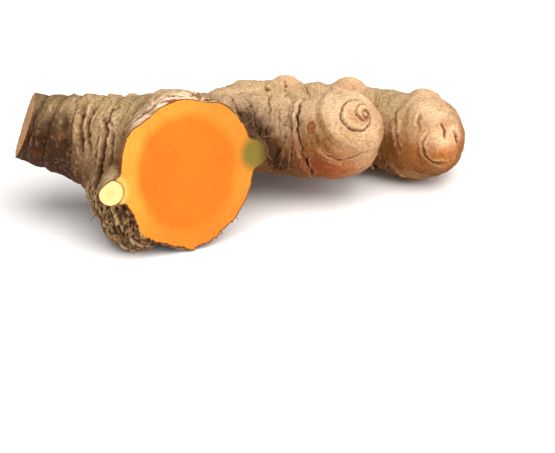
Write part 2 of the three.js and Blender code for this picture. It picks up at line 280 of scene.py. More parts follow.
# Creases in the skin: the points that each runs through, its depth, its half-width, how dark it
# is, and the height of its lips.
CREASES = [
    # The split beside the old end, from its whorl down into the hollow by the left shoot.
    (
        [
            [-18.2, 5.1, 28.4], [-17.5, 1.8, 27.2], [-18.1, 0.1, 24.5],
            [-18.4, -0.9, 21.8], [-19, -0.7, 19.3],
        ],
        (1.0, 0.5, 1.0, 0.35),
    ),
    ([[-19, -0.7, 19.8], [-19.6, -0.4, 16.9], [-20, -1.2, 14.2]], (1.5, 0.9, 1.0, 0.2)),
    (
        [[-15.4, 6.5, 30.2], [-16.7, 6.1, 28.9], [-16.9, 3.2, 28.4], [-16.1, 1.5, 27.8]],
        (0.5, 0.4, 0.6, 0.25),
    ),
    ([[-16.6, 1.2, 27.2], [-15.6, -0.6, 24.6], [-15.9, -2.6, 21.6]], (0.45, 0.45, 0.45, 0.3)),
    # Soft folds round the old end.
    (
        [[-27.4, 8.4, 28.3], [-26.9, 6.3, 26.2], [-26.9, 5, 23.2], [-27.6, 4.9, 20.3]],
        (0.7, 0.9, 0.35, 0.25),
    ),
    (
        [
            [-22.9, 11.4, 29.8], [-23.2, 7.6, 28.7], [-23.5, 5, 26.3],
            [-23.3, 3.6, 23.4], [-22.9, 2.9, 20.6],
        ],
        (0.55, 0.6, 0.5, 0.3),
    ),
    (
        [
            [-20.5, 9.7, 29.3], [-21.4, 6.4, 27.8], [-21.9, 4.2, 25.5],
            [-21.4, 2.2, 23.4], [-21, 1.2, 20.3],
        ],
        (0.5, 0.5, 0.5, 0.3),
    ),
    # Leaf scars of the short finger.
    (
        [[24.3, 21.2, 23.9], [23.8, 17, 22.2], [24, 15, 19.4], [24.9, 13.8, 16.2], [27.1, 15.5, 9.7]],
        (0.38, 0.24, 0.65, 0.2),
    ),
    (
        [
            [28.3, 12.1, 17.6], [30.5, 11.3, 16], [33.2, 11.5, 14.9],
            [35.9, 11, 15.6], [38.1, 11.7, 16.8],
        ],
        (0.25, 0.2, 0.6, 0.1),
    ),
    ([[25.8, 13, 15.4], [26.3, 14.1, 12.2], [27.6, 16.8, 7.9]], (0.35, 0.24, 0.75, 0.15)),
    ([[20, 19.4, 24], [19.5, 16.9, 22.2], [19.8, 15.3, 20]], (0.3, 0.25, 0.4, 0.15)),
    # Leaf scars of the long finger.
    (
        [[47.4, 31, 18.4], [46.6, 28.2, 16.7], [46.8, 25.5, 14.1], [47.7, 24.1, 10.9]],
        (0.25, 0.4, 0.35, 0.2),
    ),
    ([[44.3, 26.6, 7], [46.4, 27.5, 3.3]], (0.3, 0.3, 0.7, 0.1)),
    ([[52.5, 27.4, 19.6], [51.9, 25.3, 17.6], [52.1, 23.2, 15.3]], (0.22, 0.4, 0.25, 0.2)),
    # The edge of the snout, and the slits between its scales.
    (
        [
            [54, 23.6, 15.6], [52.6, 22.1, 13.3], [53.3, 20.9, 11.3],
            [55.3, 20.1, 9.9], [58.2, 20.3, 9.5],
        ],
        (0.35, 0.3, 0.35, 0.35),
    ),
    ([[57.3, 25.8, 16.8], [57.8, 24.7, 15.5], [58.1, 22.3, 14.7]], (0.6, 0.28, 0.85, 0.25)),
    ([[60.2, 25.8, 15.3], [60.6, 24.3, 13.9], [60.9, 23.7, 11.9]], (0.6, 0.3, 0.85, 0.25)),
]
# Rings round the bud of the short finger: centre, axis, radius, how far the skin inside is raised,
# then depth, half-width, darkness and lips as above.
BUD_AXIS = np.array([0.15, -0.76, 0.63])
BUD_RINGS = [
    ([36.9, 14.9, 24.4], 3.6, 0.3, (0.45, 0.26, 0.95, 0.12)),
    ([38.3, 15.3, 25.0], 1.7, 0.25, (0.3, 0.22, 0.7, 0.12)),
    ([38.7, 15.1, 24.7], 0.75, 0.0, (0.4, 0.22, 1.0, 0.1)),
]


def linear(code):
    """An sRGB hex colour as linear red, green, blue and alpha."""
    channels = [int(code[i : i + 2], 16) / 255 for i in (1, 3, 5)]
    turned = [c / 12.92 if c <= 0.04045 else ((c + 0.055) / 1.055) ** 2.4 for c in channels]
    return (*turned, 1.0)


def colour_setting(name, description, code):
    return bpy.props.FloatVectorProperty(
        name=name,
        description=description,
        subtype="COLOR",
        size=4,
        min=0.0,
        max=1.0,
        default=linear(code),
    )


def number_setting(name, description, default, **limits):
    return bpy.props.FloatProperty(name=name, description=description, default=default, **limits)


def length_setting(name, description, default):
    return number_setting(name, description, default, min=0.0, unit="LENGTH", precision=5)


class SkinSettings(bpy.types.PropertyGroup):
    """Sizes and colours of the corky skin."""

    voxel: length_setting("Grain", "Distance between the points of the skin's mesh", 0.0004)
    relief: number_setting("Relief", "Height of the skin's relief, as a share of the real one", 1.0)
    lump_height: length_setting("Lumps", "Height of the lumps between the leaf scars", 0.00035)
    bark_height: length_setting("Bark", "Height of the flaky bark low on the left", 0.0008)
    pared_depth: length_setting("Pared rim", "How much skin is pared off the rim's top", 0.0012)
    young: colour_setting("Young skin", "Skin of the fingers", "#d8b58f")
    old: colour_setting("Old skin", "Skin of the old end", "#9c8057")
    blotch: colour_setting("Blotches", "Browner blotches all over", "#87623a")
    bark: colour_setting("Bark", "Pale strands of the bark low on the left", "#b29468")
    bark_gap: colour_setting("Bark gaps", "Darker bark between the strands", "#553c22")
    olive: colour_setting("Olive", "Greenish-brown patches on the old skin", "#847346")
    # Scar lines take off this colour, and so does the painted shade in the skin's hollows.
    groove: colour_setting("Scar line", "What a line in a leaf scar takes off the colour", "#946c50")
    scraped: colour_setting("Pared skin", "Pale fibres where the skin is pared", "#efd0b2")
    graze: colour_setting("Graze", "Fresh orange-brown skin", "#c2733a")
    stain: colour_setting("Stain", "Purple-brown skin of the old end", "#432811")
    # Painted shade on the underside and where the short finger shades the long one, partly the skin's own
    # browner underside.
    under: colour_setting("Underside", "What the underside takes off the colour", "#bb8a50")
    # Painted shade in the crevice between the fingers, partly dark root hairs there.
    crevice: colour_setting("Crevice", "Dark root hairs between two fingers", "#3a210b")
    bud: colour_setting("Buds", "Pinkish cream skin of the buds", "#dfb185")
    # Painted highlight along the tops of the folds, partly skin rubbed pale there.
    crest_wear_and_highlight: colour_setting("Crests", "Skin rubbed pale along the tops of its folds", "#e4bf8f")


class FleshSettings(bpy.types.PropertyGroup):
    """Colours of the cut and the snapped flesh."""

    core: colour_setting("Core", "Flesh inside the ring", "#f36f18")
    cortex: colour_setting("Cortex", "Flesh outside the ring", "#d58029")
    # Painted light on the left of the cortex; the same colour also tints the vein bundles.
    bright: colour_setting("Bright cortex", "Yellower flesh on the left of the cortex", "#f69534")
    ring: colour_setting("Ring", "Line between the core and the cortex", "#f27b1e")
    rim: colour_setting("Rim", "Cut edge of the skin", "#5b3a1e")
    halo: colour_setting("Halo", "Pale flesh between the cortex and the shoot", "#e6b058")
    bark: colour_setting("Sliced bark", "Fibrous edge of the bark low on the left", "#7d6738")
    cream: colour_setting("Shoot", "Flesh of the sliced side shoot", "#ecca8a")
    green: colour_setting("Lobe", "Translucent flesh of the right-hand shoot", "#786828")
    deep_green: colour_setting("Lobe's edge", "The same flesh at its outer edge", "#433016")
    snapped: colour_setting("Snapped flesh", "Dried flesh of the snapped end", "#c08a58")
    snapped_dark: colour_setting("Snapped, dark", "Its darker fibres", "#9a6437")
    snapped_pale: colour_setting("Snapped, pale", "Its paler fibres", "#e2b684")
    core_share: number_setting("Core share", "Radius of the core as a share of the cut face's", 0.77)


class LooseSettings(bpy.types.PropertyGroup):
    """Root fibres and flakes of skin."""

    fibres: bpy.props.IntProperty(
        name="Fibres", description="Number of root fibres", default=130, min=0, max=400
    )
    fibre_length: length_setting("Fibre length", "Length of a middling fibre", 0.0022)
    fibre_width: length_setting("Fibre width", "Diameter of a fibre at its root", 0.00022)
    flakes: bpy.props.IntProperty(
        name="Flakes", description="Number of loose flakes of skin", default=46, min=0, max=200
    )
    flake_size: length_setting("Flake size", "Length of a middling flake", 0.0017)
    fibre: colour_setting("Fibre", "Dry root fibre", "#7a5733")
    flake: colour_setting("Flake", "Dry loose skin", "#8a6238")


class StageSettings(bpy.types.PropertyGroup):
    """The floor, the lights and the camera."""

    floor_size: length_setting("Floor", "Side of the square floor", 3.0)
    floor: colour_setting("Floor colour", "Matt white board", "#f4f3f3")
    daylight: number_setting("Daylight", "Strength of the light from all round", 0.27, min=0.0)
    key: number_setting("Key light", "Watts of the light on the right", 5.2, min=0.0)
    top: number_setting("Top light", "Watts of the light overhead", 6.6, min=0.0)
    front: number_setting("Front light", "Watts of the light in front", 1.0, min=0.0)
    distance: length_setting("Distance", "From the camera to what it looks at", 0.35)
    elevation: number_setting(
        "Elevation", "How far above the floor's level the camera stands", math.radians(30), unit="ROTATION"
    )
    lens: number_setting("Lens", "Focal length", 100.0, min=1.0, unit="CAMERA")
    target: bpy.props.FloatVectorProperty(
        name="Target",
        description="The point that the camera looks at",
        default=(0.00736, -0.01223, 0.0),
        subtype="TRANSLATION",
        unit="LENGTH",
    )


def seeded(seed):
    """The same repeatable draws from 0 to 1 as the CAD source makes."""
    state = seed
    while True:
        state = (state * 1664525 + 1013904223) % 4294967296
        yield state / 4294967296


class Limb:
    """One limb of the hand: its centre line, girth and leaf scars, all in millimetres."""

    def __init__(self, knots, seed, age, scar_depth, wrinkle, wrinkle_gap, lobes=(), scars=(), tilt=0.3):
        self.age, self.scar_depth = age, scar_depth
        self.wrinkle, self.wrinkle_gap, self.lobes = wrinkle, wrinkle_gap, lobes
        self.seed = seed
        self.lay_centre_line(np.array(knots, float))
        tip_radius = knots[-1][3]
        self.length = self.spine_length + tip_radius * DOME_REACH
        self.dome_start = self.spine_length - tip_radius * DOME_ONSET
        draw = seeded(seed)
        self.scars = []
        for place in scars:
            lean, phase = 0.5 + next(draw), next(draw) * math.tau
            depth, deepest = 0.7 + 0.5 * next(draw), next(draw) * math.tau
            fade = min(1.0, place / TILT_FADE, (self.length - place) / TILT_FADE)
            self.scars.append((place, tilt * lean * fade, phase, depth, deepest))

    def lay_centre_line(self, knots):
        ends = np.vstack([2 * knots[0] - knots[1], knots, 2 * knots[-1] - knots[-2]])
        t = np.linspace(0, 1, 60, endpoint=False)[:, None]
        pieces = []
        for before, start, end, after in zip(ends, ends[1:], ends[2:], ends[3:]):
            leave, arrive = (end - before) / 2, (after - start) / 2
            piece = start * (2 * t**3 - 3 * t**2 + 1) + leave * (t**3 - 2 * t**2 + t)
            pieces.append(piece + end * (3 * t**2 - 2 * t**3) + arrive * (t**3 - t**2))
        dense = np.vstack(pieces + [knots[-1:]])
        steps = np.linalg.norm(np.diff(dense[:, :3], axis=0), axis=1)
        along = np.concatenate([[0], np.cumsum(steps)])
        self.spine_length = along[-1]
        self.places = np.linspace(0, along[-1], max(4, int(along[-1] / SPINE_STEP)))
        at = [np.interp(self.places, along, dense[:, i]) for i in range(4)]
        self.centres, self.radii = np.stack(at[:3], 1), at[3]
        tangents = np.gradient(self.centres, self.places, axis=0)
        self.tangents = tangents / np.linalg.norm(tangents, axis=1)[:, None]
        normals = []
        normal = np.array([0.0, 0.0, 1.0])
        for tangent in self.tangents:
            normal = normal - tangent * (normal @ tangent)
            normal = normal / np.linalg.norm(normal)
            normals.append(normal)
        self.normals = np.array(normals)
        self.sides = np.cross(self.tangents, self.normals)

    def locate(self, points):
        """Where points are on the limb: distance along it, angle, how far off its surface, and
        their place in the straightened limb, in which z runs on over the tip."""
        apart = (self.centres**2).sum(1) - 2 * points @ self.centres.T
        nearest = apart.argmin(1)
        tangent = self.tangents[nearest]
        offset = points - self.centres[nearest]
        ahead = (offset * tangent).sum(1)
        s = self.places[nearest] + ahead
        offset = offset - tangent * ahead[:, None]
        across = (offset * self.sides[nearest]).sum(1)
        upward = (offset * self.normals[nearest]).sum(1)
        r = np.hypot(across, upward)
        angle = np.arctan2(across, upward)
        radius = self.radii[nearest].copy()
        section = np.ones(len(points))
        for order, amount, degrees in self.lobes:
            section += amount * np.cos(order * (angle - math.radians(degrees)))
        radius = radius * section
        past = np.maximum(0, (s - self.dome_start) / (self.length - self.dome_start))
        share = (past**DOME_POWER + (r / radius) ** DOME_POWER) ** (1 / DOME_POWER)
        gap = np.where(past > 0, (share - 1) * radius * 0.8, r - radius)
        gap = np.where(s < 0, np.hypot(np.maximum(gap, 0), s), gap)
        over = np.where(past > 0, np.maximum(0, radius - r) * 0.6, 0.0)
        return s, angle, gap, np.stack([upward, across, s + over], 1)


def field(points, size, offset=0.0):
    """Smooth noise from about -1 to 1, its lumps as many mm across as size says, along each axis."""
    scaled = points / np.array(size) + offset
    return np.fromiter((noise.noise(p) for p in scaled.tolist()), float, len(scaled)) * 1.4


def step(value, low, high):
    """0 below low and 1 above high, turning over smoothly between them."""
    t = np.clip((value - low) / (high - low), 0, 1)
    return t * t * (3 - 2 * t)


def bump(value, width):
    return np.exp(-((value / width) ** 2))


def between(ends, share):
    return ends[0] + (ends[1] - ends[0]) * share


def apart(points, place, size=1.0):
    """How far points are from a place, in mm, or in shares of a size where one is given."""
    return np.linalg.norm((points - place) / size, axis=1)


def only(piece):
    """Makes a piece the one that is selected and active."""
    bpy.ops.object.select_all(action="DESELECT")
    piece.select_set(True)
    bpy.context.view_layer.objects.active = piece


def pick_faces(piece, chosen):
    """Selects exactly the chosen faces of a piece that is in object mode."""
    mesh = piece.data
    mesh.vertices.foreach_set("select", np.zeros(len(mesh.vertices), bool))
    mesh.edges.foreach_set("select", np.zeros(len(mesh.edges), bool))
    mesh.polygons.foreach_set("select", np.ascontiguousarray(chosen, bool))


def read_values(data, name, width=1):
    """A value of every entry, such as every face or vertex, as numbers in rows of a width."""
    values = np.empty(len(data) * width, np.float32)
    data.foreach_get(name, values)
    values = values.astype(float)
    return values if width == 1 else values.reshape(-1, width)


def vertex_places(mesh):
    return read_values(mesh.vertices, "co", 3)


def vertex_normals(mesh):
    return read_values(mesh.vertex_normals, "vector", 3)


def to_limbs(places):
    """Metres in the CAD frame to millimetres from the middle of the cut face."""
    return places / MM - LIMB_ORIGIN


def to_frame(points):
    return (np.asarray(points) + LIMB_ORIGIN) * MM


def apply_modifier(piece, name, kind, **settings):
    modifier = piece.modifiers.new(name, kind)
    for key, value in settings.items():
        setattr(modifier, key, value)
    only(piece)
    bpy.ops.object.modifier_apply(modifier=modifier.name)


def keep(mesh, name, values):
    """Stores a number, or a vector, for every vertex, for the materials to read."""
    values = np.asarray(values, np.float32)
    if values.ndim == 2:
        mesh.attributes.new(name, "FLOAT_VECTOR", "POINT").data.foreach_set("vector", values.ravel())
    else:
        mesh.attributes.new(name, "FLOAT", "POINT").data.foreach_set("value", values)


def hollows(mesh, points, normals, rounds):
    """How deep each vertex lies in a hollow of its surroundings, which grow with the rounds."""
    edges = np.empty(len(mesh.edges) * 2, np.int32)
    mesh.edges.foreach_get("vertices", edges)
    a, b = edges.reshape(-1, 2).T
    count = len(points)
    links = np.bincount(a, minlength=count) + np.bincount(b, minlength=count)
    smooth = points.copy()
    for _ in range(rounds):
        total = np.empty_like(smooth)
        for axis in range(3):
            total[:, axis] = np.bincount(a, smooth[b, axis], count) + np.bincount(b, smooth[a, axis], count)
        smooth = 0.5 * smooth + 0.5 * total / np.maximum(links, 1)[:, None]
    return ((smooth - points) * normals).sum(1)


def add_node(tree, kind, inputs=None, stops=None, **settings):
    """Adds a node, gives it its settings, and sets or links its inputs."""
    node = tree.nodes.new(kind)
    for name, value in settings.items():
        setattr(node, name, value)
    for key, value in (inputs or {}).items():
        if isinstance(value, bpy.types.NodeSocket):
            tree.links.new(value, node.inputs[key])
        else:
            node.inputs[key].default_value = value
    if stops:
        ramp = node.color_ramp.elements
        while len(ramp) < len(stops):
            ramp.new(1.0)
        for element, (place, colour) in zip(ramp, stops):
            element.position = place
            element.color = (colour,) * 3 + (1.0,) if isinstance(colour, float) else tuple(colour)
    return node


def new_material(name):
    material = bpy.data.materials.new(name)
    material.use_nodes = True
    material.node_tree.nodes.clear()
    return material, material.node_tree


def lay_colours(tree, colour, layers):
    """Lays colours over one another. A layer is the factors of its share, its colour and how it
    blends."""
    for factors, over, mode in layers:
        share = factors[0]
        for factor in factors[1:]:
            product = add_node(tree, "ShaderNodeMath", {0: share, 1: factor}, operation="MULTIPLY")
            share = product.outputs[0]
        inputs = {0: share, 6: colour, 7: over}
        layer = add_node(tree, "ShaderNodeMix", inputs, data_type="RGBA", blend_type=mode)
        colour = layer.outputs[2]
    return colour


def finish_material(tree, colour, rough, relief, shader):
    """Ends a material. rough is what the roughness follows, its least and its most, and relief is
    what the bumps follow, their strength and their height in metres."""
    worn = add_node(tree, "ShaderNodeMapRange", dict(zip(("Value", "To Min", "To Max"), rough)))
    bumps = add_node(tree, "ShaderNodeBump", dict(zip(("Height", "Strength", "Distance"), relief)))
    inputs = {
        "Base Color": colour,
        "Roughness": worn.outputs["Result"],
        "Normal": bumps.outputs["Normal"],
        **shader,
    }
    surface = add_node(tree, "ShaderNodeBsdfPrincipled", inputs)
    add_node(tree, "ShaderNodeOutputMaterial", {"Surface": surface.outputs["BSDF"]})


def corky_skin(look):
    """Corky skin of a fresh rhizome: thin dry cork, matt with a faint wax, finely streaked round
    each limb, speckled, and dark in its creases and leaf scars. Painted shade darkens its underside,
    its hollows and the crevice between the fingers; painted highlights lighten the crests of its folds."""
    material, tree = new_material("Corky rhizome skin")
    place = add_node(tree, "ShaderNodeTexCoord").outputs["Object"]
    rings = add_node(tree, "ShaderNodeAttribute", attribute_name="rings").outputs["Vector"]
    marks = {
        name: add_node(tree, "ShaderNodeAttribute", attribute_name=name).outputs["Fac"]
        for name in (
            *("age", "stain", "bud", "graze", "under", "strand"),
            *("bark", "crest_wear_and_highlight", "crevice", "scraped", "hollow", "groove"),
        )
    }
    # Streaks 0.4 mm apart that run 3 mm round the limb. Cork cells are far finer; grains 0.5 mm
    # across are the coarsest that the real skin shows. Blotches are 5 mm across, patches 13 mm.
    stretch = add_node(tree, "ShaderNodeMapping", {"Vector": rings, "Scale": (330, 330, 2500)})
    streaks, grains, blotches, patches = (
        add_node(tree, "ShaderNodeTexNoise", dict(zip(NOISE, values))).outputs["Fac"]
        for values in (
            (stretch.outputs["Vector"], 1.0, 4.0, 0.6),
            (place, 1900.0, 4.0, 0.65),
            (place, 190.0, 5.0, 0.6),
            (place, 75.0, 3.0, 0.5),
        )
    )
    shares = {
        name: add_node(tree, "ShaderNodeMapRange", dict(zip(RANGE, values))).outputs["Result"]
        for name, *values in (
            ("olive", patches, 0.44, 0.6, 0.0, 0.6),
            ("blotch", blotches, 0.5, 0.72, 0.0, 0.65),
            ("strand", marks["strand"], 0.3, 0.8),
            ("hairy", streaks, 0.35, 0.65, 1.0, 0.88),
            ("torn", grains, 0.36, 0.5, 0.55, 1.0),
        )
    }
    streaked, speckled = (
        add_node(tree, "ShaderNodeValToRGB", {"Fac": value}, stops=stops).outputs["Color"]
        for value, stops in (
            (streaks, [(0.32, 0.76), (0.5, 0.98), (0.68, 1.14)]),
            (grains, [(0.34, 0.66), (0.5, 1.0), (0.66, 1.26)]),
        )
    )
    bark = lay_colours(tree, look.bark_gap, [([shares["strand"]], look.bark, "MIX")])
    layers = [
        ([marks["age"]], look.old, "MIX"),
        ([shares["olive"], marks["age"]], look.olive, "MIX"),
        ([shares["blotch"]], look.blotch, "MIX"),
        ([marks["stain"]], look.stain, "MIX"),
        ([marks["bud"]], look.bud, "MIX"),
        ([marks["graze"]], look.graze, "MIX"),
        # Painted shade on the underside and on the long finger beside the short one, partly browner skin
        # there.
        ([marks["under"]], look.under, "MULTIPLY"),
        ([marks["bark"]], bark, "MIX"),
        ([1.0], streaked, "MULTIPLY"),
        ([1.0], speckled, "MULTIPLY"),
        # Painted highlight on the crests of the folds, partly rubbed skin.
        ([marks["crest_wear_and_highlight"]], look.crest_wear_and_highlight, "MIX"),
        # Painted shade in the crevice, streaked like the root hairs there.
        ([marks["crevice"], shares["hairy"]], look.crevice, "MIX"),
        ([marks["scraped"], shares["torn"]], look.scraped, "MIX"),
        # Painted shade in the hollows.
        ([marks["hollow"]], look.groove, "MULTIPLY"),
        ([marks["groove"]], look.groove, "MULTIPLY"),
    ]
    colour = lay_colours(tree, look.young, layers)
    inputs = {0: streaks, 1: 1.4, 2: grains}
    relief = add_node(tree, "ShaderNodeMath", inputs, operation="MULTIPLY_ADD").outputs[0]
    finish_material(
        tree, colour, (blotches, 0.56, 0.82), (relief, 0.6, 0.0002), {"Specular IOR Level": 0.15}
    )
    return material


def cut_flesh(look):
    """Fresh turmeric flesh under a clean knife cut: starchy, wet and a little translucent, with
    a deep orange core, a ring of bundles and a yellower cortex."""
    material, tree = new_material("Wet cut turmeric flesh")
    place = add_node(tree, "ShaderNodeTexCoord").outputs["Object"]
    from_middle, left_side, from_rim = (
        add_node(tree, "ShaderNodeAttribute", attribute_name=name).outputs["Fac"]
        for name in ("core_share", "left_side", "rim_mm")
    )
    # Soft unevenness 3 mm across, clouds 9 mm across, starch cells drawn 0.3 mm across so that they
    # show, and the fibres of sliced bark.
    soft, clouds, cells, fibres = (
        add_node(tree, "ShaderNodeTexNoise", dict(zip(NOISE, (place, *values)))).outputs["Fac"]
        for values in ((330.0, 4.0, 0.55), (110.0, 2.0, 0.5), (3200.0, 2.0, 0.5), (1300.0, 3.0, 0.6))
    )
    # Bundles of veins, seen end on as dots 1.6 mm apart.
    inputs = {"Vector": place, "Scale": 620.0, "Randomness": 1.0}
    bundles = add_node(tree, "ShaderNodeTexVoronoi", inputs, feature="F1").outputs["Distance"]
    height = add_node(tree, "ShaderNodeSeparateXYZ", {"Vector": place}).outputs["Z"]

    from_shoots = []
    for centre, radius in (
        (LEFT_SHOOT_DISC, LEFT_SHOOT_RADIUS),
        (RIGHT_LOBE_DISC, RIGHT_LOBE_RADIUS),
    ):
        inputs = {0: place, 1: tuple(to_frame(centre))}
        away = add_node(tree, "ShaderNodeVectorMath", inputs, operation="DISTANCE").outputs["Value"]
        inputs = {0: away, 1: radius * MM}
        from_shoots.append(add_node(tree, "ShaderNodeMath", inputs, operation="DIVIDE").outputs[0])
    uneven = add_node(tree, "ShaderNodeMath", {0: soft, 1: 0.5}, operation="SUBTRACT").outputs[0]
    wander, left, right, rim = (
        add_node(
            tree, "ShaderNodeMath", {0: uneven, 1: amount, 2: value}, operation="MULTIPLY_ADD"
        ).outputs[0]
        for amount, value in (
            (0.09, from_middle),
            (0.22, from_shoots[0]),
            (0.22, from_shoots[1]),
            (0.5, from_rim),
        )
    )

    core = look.core_share
    shares = {
        name: add_node(
            tree, "ShaderNodeMapRange", dict(zip(RANGE, values)), interpolation_type=kind
        ).outputs["Result"]
        for name, kind, *values in (
            ("cortex", "LINEAR", wander, core - 0.05, core + 0.07),
            ("cloudy", "LINEAR", clouds, 0.35, 0.65, 0.94, 1.08),
            ("starchy", "LINEAR", cells, 0.3, 0.7, 0.86, 1.1),
            ("dots", "LINEAR", bundles, 0.06, 0.24, 0.3, 0.0),
            ("rim", "LINEAR", rim, 0.14, 0.36, 1.0, 0.0),
            ("painted_low_shade", "SMOOTHSTEP", height, 0.014, 0.002, 0.0, 0.5),
            ("low_left", "SMOOTHSTEP", left_side, 0.15, 0.4),
            ("outside", "SMOOTHSTEP", wander, 0.99, 1.02),
            ("inside", "SMOOTHSTEP", from_middle, 1.14, 1.04),
            ("round_disc", "SMOOTHSTEP", left, 1.7, 1.1),
            ("disc_rim", "SMOOTHSTEP", left, 1.14, 1.02, 0.0, 0.7),
            ("disc", "SMOOTHSTEP", left, 1.02, 0.9),
            ("disc_middle", "SMOOTHSTEP", left, 0.6, 0.1, 0.0, 0.3),
            ("lobe", "SMOOTHSTEP", right, 1.9, 0.8),
            ("by_lobe", "SMOOTHSTEP", right, 3.0, 2.0),
            ("far_out", "SMOOTHSTEP", from_middle, 1.06, 1.27),
        )
    }
    zones, bark = (
        add_node(tree, "ShaderNodeValToRGB", {"Fac": value}, stops=stops).outputs["Color"]
        for value, stops in (
            (
                wander,
                [
                    (0.0, look.core),
                    (core - 0.09, look.core),
                    (core - 0.01, look.ring),
                    (core + 0.07, look.cortex),
                ],
            ),
            (fibres, [(0.38, look.rim), (0.52, look.bark), (0.66, look.halo)]),
        )
    )
    layers = [
        # Painted light: the cortex is lighter and yellower on its left.
        ([left_side, shares["cortex"]], look.bright, "MIX"),
        ([1.0], shares["cloudy"], "MULTIPLY"),
        # Painted shade: the orange deepens towards the bottom of the face.
        ([shares["painted_low_shade"]], look.core, "MIX"),
        ([1.0], shares["starchy"], "MULTIPLY"),
        ([shares["dots"]], look.bright, "MIX"),
        # Low on the left the knife has gone through bark, which is part dark and part pale.
        ([shares["low_left"], shares["outside"]], bark, "MIX"),
        # The sliced shoot on the left is a cream disc; flesh runs up to it, paler round it.
        ([shares["round_disc"], shares["inside"]], look.halo, "MIX"),
        ([shares["disc_rim"]], look.rim, "MIX"),
        ([shares["disc"]], look.cream, "MIX"),
        ([shares["disc_middle"]], look.halo, "MIX"),
        # The shoot on the right is sliced where it is thin, and shows green through.
        ([shares["lobe"]], look.green, "MIX"),
        ([shares["far_out"], shares["by_lobe"]], look.deep_green, "MIX"),
        ([shares["rim"]], look.rim, "MIX"),
    ]
    colour = lay_colours(tree, zones, layers)
    inputs = {0: cells, 1: 0.6, 2: soft}
    relief = add_node(tree, "ShaderNodeMath", inputs, operation="MULTIPLY_ADD").outputs[0]
    shader = {
        "IOR": 1.34,
        "Specular IOR Level": 0.2,
        "Subsurface Weight": 0.2,
        "Subsurface Radius": (1.0, 0.35, 0.08),
        "Subsurface Scale": 0.0015,
    }
    finish_material(tree, colour, (soft, 0.3, 0.48), (relief, 0.5, 0.0002), shader)
    return material


def dry_matter(name, grain, tones, blends, rough, relief):
    """Dry, matt plant matter, unevenly toned by a grain: its scale, detail and roughness. blends
    makes the layers of its colour from the tones."""
    material, tree = new_material(name)
    place = add_node(tree, "ShaderNodeTexCoord").outputs["Object"]
    grains = add_node(tree, "ShaderNodeTexNoise", dict(zip(NOISE, (place, *grain)))).outputs["Fac"]
    tone = add_node(tree, "ShaderNodeValToRGB", {"Fac": grains}, stops=tones).outputs["Color"]
    finish_material(tree, blends(tree, tone), (grains, *rough), (grains, *relief), {})
    return material


def snapped_flesh(look, skin):
    """Flesh of the snapped end: torn, dried to a tan, fibrous and quite matt."""

    def worn_edge(tree, tone):
        rim = add_node(tree, "ShaderNodeAttribute", attribute_name="rim_mm").outputs["Fac"]
        edge = add_node(tree, "ShaderNodeMapRange", dict(zip(RANGE, (rim, 0.25, 0.8, 1.0, 0.0))))
        return lay_colours(tree, tone, [([edge.outputs["Result"]], skin.old, "MIX")])

    tones = [(0.3, look.snapped_dark), (0.5, look.snapped), (0.7, look.snapped_pale)]
    grain = (900.0, 5.0, 0.7)
    name = "Dried snapped turmeric flesh"
    return dry_matter(name, grain, tones, worn_edge, (0.65, 0.9), (0.8, 0.0003))


def dry_scrap(name, base, scale):
    """A dry scrap of the plant, such as a root fibre or a scale of skin."""

    def shaded(tree, tone):
        return lay_colours(tree, base, [([1.0], tone, "MULTIPLY")])

    tones = [(0.3, 0.55), (0.5, 1.0), (0.7, 1.5)]
    return dry_matter(name, (scale, 4.0, 0.65), tones, shaded, (0.6, 0.85), (0.6, 0.0001))


def white_board(look):
    """Matt white board: even, with the faintest tooth."""
    material, tree = new_material("Matt white board")
    place = add_node(tree, "ShaderNodeTexCoord").outputs["Object"]
    tooth = add_node(tree, "ShaderNodeTexNoise", {"Vector": place, "Scale": 700.0}).outputs["Fac"]
    inputs = {"Value": tooth, "To Min": 0.75, "To Max": 0.9}
    rough = add_node(tree, "ShaderNodeMapRange", inputs).outputs["Result"]
    inputs = {"Base Color": look.floor, "Roughness": rough}
    surface = add_node(tree, "ShaderNodeBsdfPrincipled", inputs)
    add_node(tree, "ShaderNodeOutputMaterial", {"Surface": surface.outputs["BSDF"]})
    return material


def copy_of_solid():
    """A merged copy of the CAD solid, with the flat cuts pushed out for the skin to run over."""
    body = bpy.data.objects.new("root_body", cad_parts[NODE].data.copy())
    bpy.context.scene.collection.objects.link(body)
    body.data.materials.clear()
    only(body)
    bpy.context.tool_settings.mesh_select_mode = (False, False, True)
    bpy.ops.object.mode_set(mode="EDIT")
    bpy.ops.mesh.select_all(action="SELECT")
    bpy.ops.mesh.remove_doubles(threshold=1e-6)
    bpy.ops.object.mode_set(mode="OBJECT")
    for centre, normal in ((CUT_CENTRE, CUT_NORMAL), (SNAP_CENTRE, SNAP_NORMAL)):
        mesh = body.data
        middles = to_limbs(read_values(mesh.polygons, "center", 3))
        flat = read_values(mesh.polygons, "normal", 3) @ normal > FACING
        pick_faces(body, flat & (np.abs((middles - centre) @ normal) < LEVEL_IN_SOLID))
        bpy.ops.object.mode_set(mode="EDIT")
        push = tuple(normal * PUSH_OUT * MM)
        bpy.ops.mesh.extrude_region_move(TRANSFORM_OT_translate={"value": push})
        bpy.ops.object.mode_set(mode="OBJECT")
    return body


def around_cut(points):
    """Places seen square to the cut: mm behind it, mm from its middle, degrees round from its top."""
    offset = points - CUT_CENTRE
    right, upward = offset @ CUT_RIGHT, offset @ CUT_UP
    return -offset @ CUT_NORMAL, np.hypot(right, upward), np.degrees(np.arctan2(right, upward))


